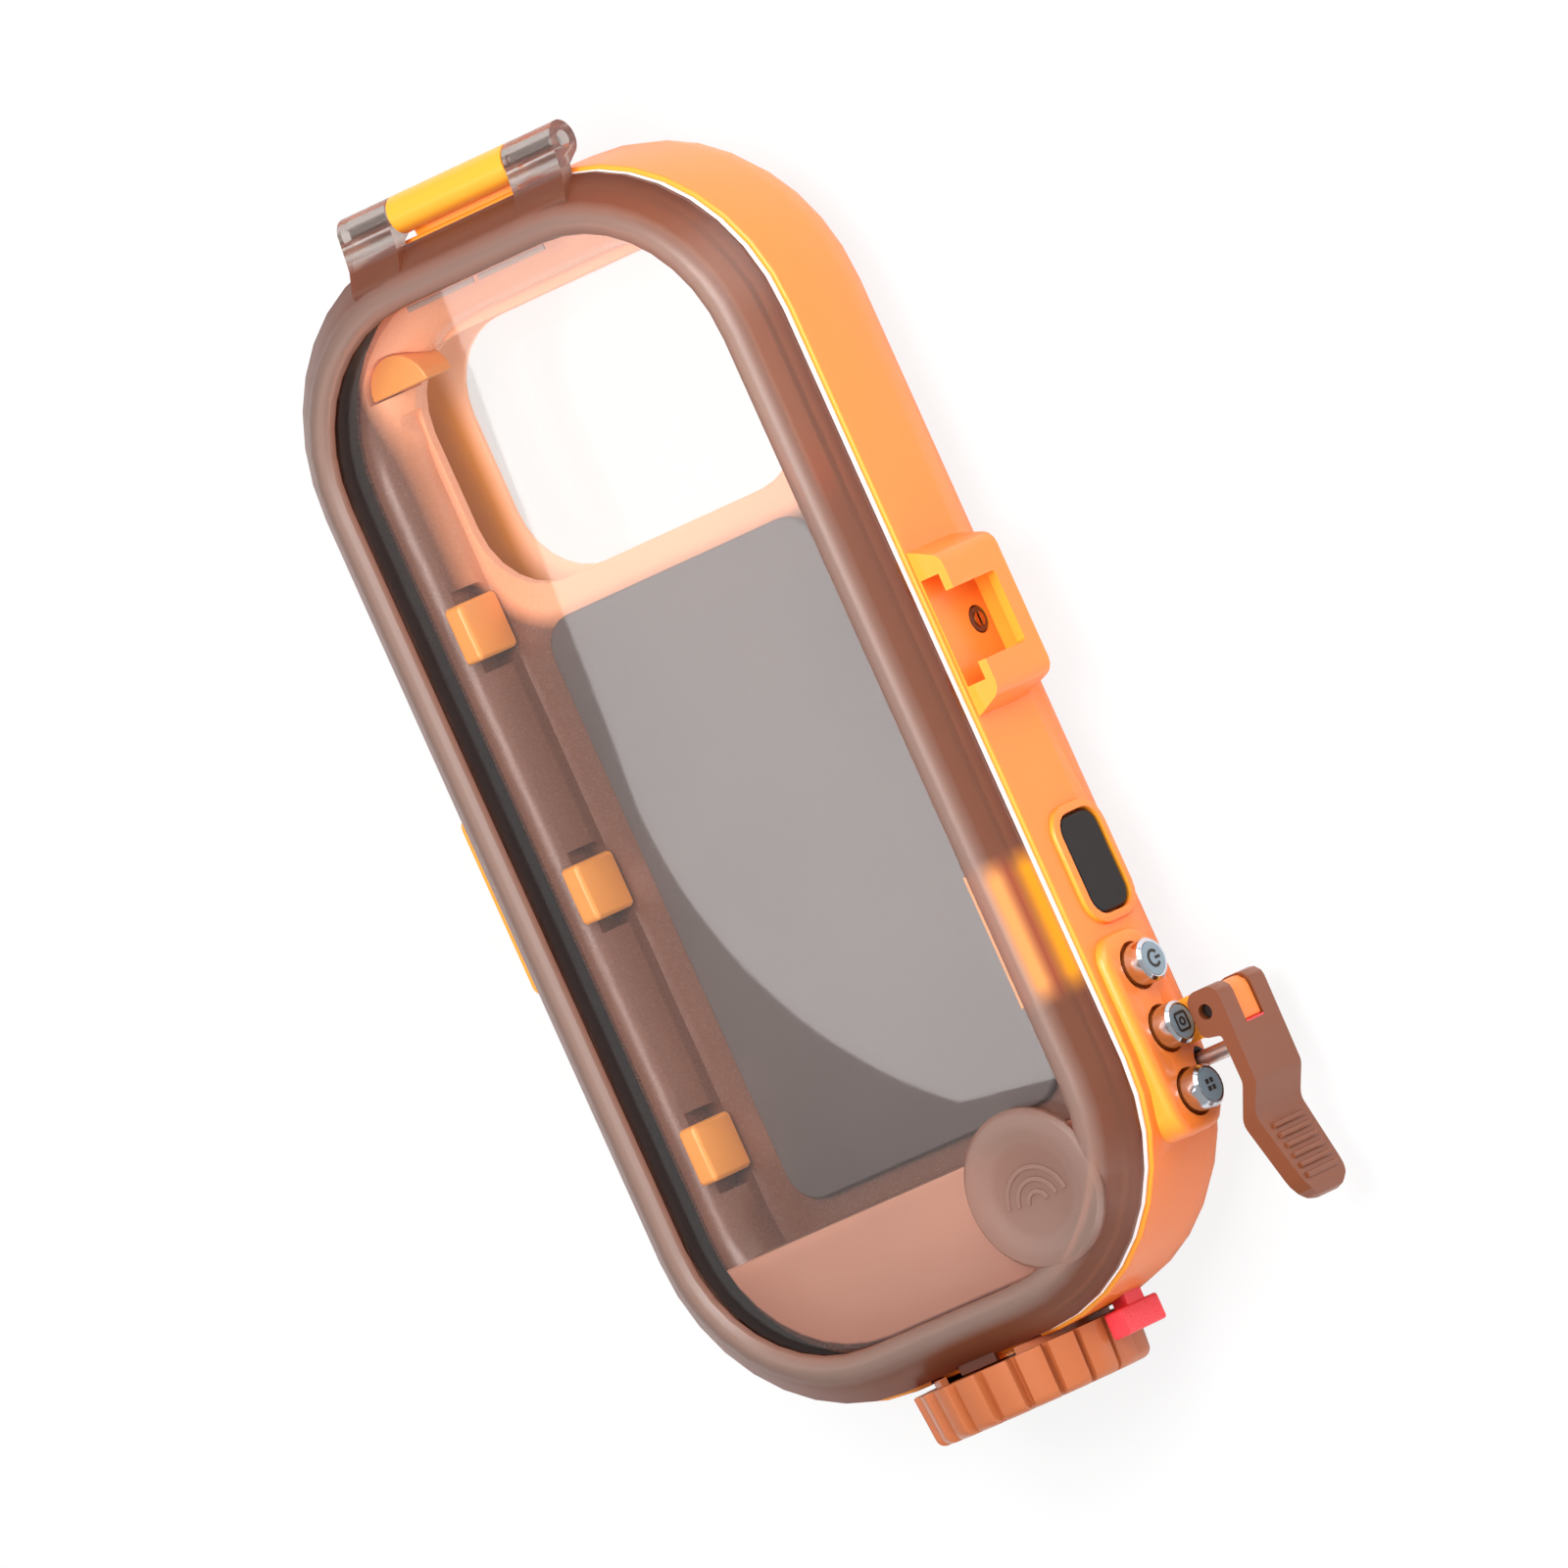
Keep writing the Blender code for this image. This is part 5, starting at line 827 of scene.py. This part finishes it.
class CASE_OT_lever(bpy.types.Operator):
    """Dress the shutter lever, its pin, the push rod and the bush"""
    bl_idname = "case.lever"
    bl_label = "Shutter lever"

    def execute(self, context):
        colours, sizes = context.scene.case_colours, context.scene.case_sizes
        # Moulded glass-filled nylon, brown: its skin is satin and slightly coarse.
        nylon = moulded_plastic(
            "moulded_nylon_brown", tuple(colours.brown), 0.36, grain_mm=0.5, relief=0.2, mottle=0.05,
            coat=0.1)
        dressed("shutter_lever", "thumb_lever", nylon, sizes.edge)
        # Blackened steel: the pin's end reads as a dark hole in the lever, so its dark colour is partly a real
        # finish and partly painted shade.
        hole_shade_steel = worked_metal("blackened_steel_hole_shade", linear("#3A3230"), 0.4)
        dressed("lever_pin", "lever_pivot_pin", hole_shade_steel, sizes.fine_edge)
        # Ground stainless steel: pale and even, for the rod that slides in the bush.
        ground = worked_metal("ground_stainless", linear("#E6E3E0"), 0.36)
        dressed("push_rod", "rod", ground, sizes.fine_edge)
        dressed("rod_bush", "bush", bpy.data.materials["nitrile_rubber_black"], sizes.fine_edge)
        # Moulded acetal, red: smooth and a little waxy.
        acetal = moulded_plastic("moulded_acetal_red", tuple(colours.lock), 0.28, relief=0.05, mottle=0.02)
        self.stop_strip(acetal)
        return {"FINISHED"}

    def stop_strip(self, finish):
        """The thin red strip at the bottom of the lever's slot."""
        middle = (LEVER_LOW.z + LEVER_HIGH.z) / 2
        low, high = middle - STOP_STRIP_HALF_WIDTH, middle + STOP_STRIP_HALF_WIDTH
        outer, inner = (LEVER_HIGH.x - inset for inset in STOP_STRIP_INSETS)
        first, last = STOP_STRIP_LEVELS
        bm = bmesh.new()
        slab(bm, [(inner, low), (outer, low), (outer, high), (inner, high)],
             LEVER_SLOT_BOTTOM + first, LEVER_SLOT_BOTTOM + last, FACING_UP_Y)
        put("stop_strip", rounded("stop_strip", bm, 0.05 * MM), finish, "lever")


class CASE_OT_lock(bpy.types.Operator):
    """Build the fluted lock knob, and dress its collar, its screw and the red tab"""
    bl_idname = "case.lock"
    bl_label = "Twist lock"

    def execute(self, context):
        colours, sizes = context.scene.case_colours, context.scene.case_sizes
        steel = bpy.data.materials["turned_stainless"]
        # Moulded glass-filled nylon, copper brown: a little more gloss than the lever's.
        copper = moulded_plastic(
            "moulded_nylon_copper", tuple(colours.knob), 0.34, grain_mm=0.5, relief=0.15, mottle=0.05,
            coat=0.15)
        self.knob(copper, sizes)
        dressed("lock_collar", "knob_collar", copper, sizes.fine_edge)
        dressed("knob_screw", "shoulder_screw", steel, sizes.fine_edge)
        dressed("lock_tab", "red_tab", bpy.data.materials["moulded_acetal_red"], sizes.fine_edge)
        return {"FINISHED"}

    def knob(self, finish, sizes):
        """One flute with its broad panel, drawn as a closed strip of rings and repeated round the axis."""
        radius, end = KNOB_RADIUS / MM, -(KNOB_HIGH.y - KNOB_LOW.y) / MM
        bends = [math.radians(18.0 * step) for step in range(6)]
        rim = [(0.0, 0.0)] + [(KNOB_TAPER + KNOB_ROUND * (1 - math.cos(a)),
                               end + KNOB_ROUND - KNOB_ROUND * math.sin(a)) for a in bends]
        seat = end + KNOB_RECESS_DEPTH
        core = [(KNOB_RECESS_RADIUS + KNOB_RECESS_EDGE, end), (KNOB_RECESS_RADIUS, end + KNOB_RECESS_EDGE),
                (KNOB_RECESS_RADIUS, seat), (KNOB_BORE_RADIUS, seat), (KNOB_BORE_RADIUS, 0.0),
                (KNOB_GROOVE_RADII[0], 0.0), (KNOB_GROOVE_RADII[0], -KNOB_GROOVE_DEPTH),
                (KNOB_GROOVE_RADII[1], -KNOB_GROOVE_DEPTH), (KNOB_GROOVE_RADII[1], 0.0)]
        step = math.tau / KNOB_FLUTES
        bm = bmesh.new()
        columns = []
        for share, depth in KNOB_PANEL:
            angle = KNOB_FIRST_CREST + share * step
            across, up = math.cos(angle) * MM, math.sin(angle) * MM
            section = [(radius - inset - depth, height) for inset, height in rim] + core
            columns.append([bm.verts.new((reach * across, height * MM, reach * up))
                            for reach, height in section])
        for first, second in zip(columns, columns[1:]):
            for index in range(len(first)):
                after = (index + 1) % len(first)
                bm.faces.new((first[index], first[after], second[after], second[index]))
        centre = (0.0, KNOB_HIGH.y, (KNOB_LOW.z + KNOB_HIGH.z) / 2)
        mesh = repeated("twist_knob", bm, finish, KNOB_FLUTES, centre, turn=(0.0, step, 0.0),
                        edge=sizes.fine_edge)
        put("twist_knob", mesh, finish, "knob", ["lock_knob"])


class CASE_OT_side(bpy.types.Operator):
    """Dress the side lens and the fittings of the accessory shoe"""
    bl_idname = "case.side"
    bl_label = "Lens and shoe"

    def execute(self, context):
        sizes = context.scene.case_sizes
        # Cast, smoked acrylic: black and glossy.
        smoked = moulded_plastic(
            "smoked_acrylic_black", linear("#171617"), 0.10, relief=0.0, mottle=0.0, ior=1.3)
        dressed("side_lens", "lens_pane", smoked, sizes.edge)
        # Moulded nylon, dark: the socket reads as a dark ring round the screw.
        dark = moulded_plastic("moulded_nylon_dark", linear("#5A2E1C"), 0.4, grain_mm=0.3, relief=0.1)
        dressed("shoe_insert", "shoe_socket", dark, sizes.fine_edge)
        # Turned bronze: warm metal with fine tool lines, for the slotted screw in the socket.
        self.shoe_screw(worked_metal("turned_bronze", linear("#B5743C"), 0.3))
        return {"FINISHED"}

    def shoe_screw(self, finish):
        """A slotted screw head on the socket, as two halves with the slot between them."""
        bm = bmesh.new()
        for first, last in SHOE_SCREW_HALVES:
            slab(bm, around(SHOE_SCREW_RADIUS, first, last, 16), *SHOE_SCREW_LEVELS, on_wall("shoe_insert"))
        put("shoe_screw", rounded("shoe_screw", bm, 0.06 * MM), finish, "case")


class CASE_OT_stage(bpy.types.Operator):
    """Make the floor, the white surroundings, the lights and the camera"""
    bl_idname = "case.stage"
    bl_label = "Stage"

    def execute(self, context):
        scene, stage = context.scene, context.scene.case_stage
        scene.view_settings.view_transform = "Standard"
        self.surroundings(scene)
        self.floor()
        self.lamps()
        self.reflection(stage)
        self.camera(scene, stage)
        return {"FINISHED"}

    def seen(self, tree):
        """One for what the camera sees, straight or through clear plastic."""
        path = add(tree, "ShaderNodeLightPath").outputs
        return maths(tree, "MAXIMUM", path["Is Camera Ray"], path["Is Transmission Ray"])

    def surroundings(self, scene):
        """White to the camera, and half as bright to the case, so that its shading stays clear."""
        world = bpy.data.worlds.new("studio")
        world.use_nodes = True
        tree = world.node_tree
        tree.nodes.clear()
        light = add(tree, "ShaderNodeBackground", inputs={
            "Color": linear("#FFFFFF"), "Strength": between(tree, self.seen(tree), 0.0, 1.0, WORLD_LIGHT, 1.0)})
        output = add(tree, "ShaderNodeOutputWorld")
        tree.links.new(light.outputs["Background"], output.inputs["Surface"])
        scene.world = world

    def floor(self):
        """White paper, mostly self-lit to the camera, so that it is white and keeps a soft shadow."""
        made, tree, output, _ = start_material("studio_floor_white")
        paper = add(tree, "ShaderNodeBsdfDiffuse", inputs={"Color": linear("#E8E8E8")})
        white = add(tree, "ShaderNodeEmission", inputs={"Color": linear("#FFFFFF"), "Strength": 1.0})
        share = maths(tree, "MULTIPLY", self.seen(tree), FLOOR_WHITE_SHARE)
        surface = mixed(tree, share, paper.outputs["BSDF"], white.outputs["Emission"])
        tree.links.new(surface, output.inputs["Surface"])
        bm = bmesh.new()
        bmesh.ops.create_grid(bm, x_segments=1, y_segments=1, size=FLOOR_HALF)
        mesh = mesh_from("floor", bm)
        mesh.materials.append(made)
        floor = placed("floor", mesh)
        floor.location.z = cad_box[0].z

    def lamps(self):
        """Square lamps that face the case; the low one doesn't show in mirror reflections."""
        for name, place, size, energy, mirrored in LAMPS:
            data = bpy.data.lights.new(name, "AREA")
            data.size = size
            data.energy = energy
            lamp = placed(name, data)
            lamp.location = place
            lamp.rotation_mode = "QUATERNION"
            lamp.rotation_quaternion = (-Vector(place)).to_track_quat("-Z", "Y")
            lamp.visible_glossy = mirrored

    def reflection(self, stage):
        """A bright card with a curved edge, placed where the window mirrors it to the camera."""
        made, tree, output, _ = start_material("light_card")
        glow = add(tree, "ShaderNodeEmission", inputs={"Color": linear("#FFFFFF"), "Strength": stage.card})
        tree.links.new(glow.outputs["Emission"], output.inputs["Surface"])
        shift = -math.tan(stage.tilt) * CARD_HEIGHT
        bends = [math.radians(3.0 * step) for step in range(20)]
        curve = [(CARD_BEND_X - CARD_BEND_RADIUS * math.cos(a), CARD_BEND_Y - CARD_BEND_RADIUS * math.sin(a))
                 for a in bends]
        outline = [(CARD_LEFT, CARD_TOP)] + curve + [(CARD_RIGHT, CARD_LOW), (CARD_RIGHT, CARD_TOP)]
        bm = bmesh.new()
        bm.faces.new([bm.verts.new((x * MM + shift, y * MM, WINDOW_HIGH.z + CARD_HEIGHT))
                      for x, y in outline])
        mesh = mesh_from("light_card", bm)
        mesh.materials.append(made)
        card = placed("light_card", mesh)
        card.visible_camera = False
        card.visible_diffuse = False
        card.visible_transmission = False
        card.visible_shadow = False
        card.visible_volume_scatter = False

    def camera(self, scene, stage):
        """A long lens above the case's right side, rolled so that the case leans as in the photo."""
        data = bpy.data.cameras.new("camera")
        data.lens = stage.lens
        data.sensor_width = SENSOR_WIDTH
        data.clip_end = 40.0
        back = Vector((math.sin(stage.tilt), 0.0, math.cos(stage.tilt)))
        across = Vector((math.cos(stage.tilt), 0.0, -math.sin(stage.tilt)))
        right = across * math.cos(stage.roll) - Vector((0, 1, 0)) * math.sin(stage.roll)
        up = across * math.sin(stage.roll) + Vector((0, 1, 0)) * math.cos(stage.roll)
        distance = stage.span * stage.lens / SENSOR_WIDTH
        camera = placed("camera", data)
        turned = Matrix((right, up, back)).transposed().to_4x4()
        camera.matrix_world = Matrix.Translation(VIEW_CENTRE + back * distance) @ turned
        scene.camera = camera


class CASE_PT_panel(bpy.types.Panel):
    """Lists the case's pieces, colours and sizes."""
    bl_idname = "CASE_PT_panel"
    bl_label = "Phone Case"
    bl_space_type = "VIEW_3D"
    bl_region_type = "UI"
    bl_category = "Phone Case"

    def draw(self, context):
        layout = self.layout
        for group in (context.scene.case_colours, context.scene.case_sizes, context.scene.case_stage):
            box = layout.box()
            for name in group.__annotations__:
                box.prop(group, name)
        for operator in OPERATORS:
            layout.operator(operator.bl_idname)


GROUPS = {"case_colours": CaseColours, "case_sizes": CaseSizes, "case_stage": CaseStage}
OPERATORS = [CASE_OT_shell, CASE_OT_cover, CASE_OT_bay, CASE_OT_buttons, CASE_OT_lever, CASE_OT_lock,
             CASE_OT_side, CASE_OT_stage]


def register():
    for group in GROUPS.values():
        bpy.utils.register_class(group)
    for name, group in GROUPS.items():
        setattr(bpy.types.Scene, name, bpy.props.PointerProperty(type=group))
    for operator in OPERATORS:
        bpy.utils.register_class(operator)
    bpy.utils.register_class(CASE_PT_panel)


def unregister():
    bpy.utils.unregister_class(CASE_PT_panel)
    for operator in reversed(OPERATORS):
        bpy.utils.unregister_class(operator)
    for name, group in reversed(list(GROUPS.items())):
        delattr(bpy.types.Scene, name)
        bpy.utils.unregister_class(group)


def main():
    register()
    bpy.ops.case.shell()
    bpy.ops.case.cover()
    bpy.ops.case.bay()
    bpy.ops.case.buttons()
    bpy.ops.case.lever()
    bpy.ops.case.lock()
    bpy.ops.case.side()
    bpy.ops.case.stage()


if __name__ == "__main__":
    main()
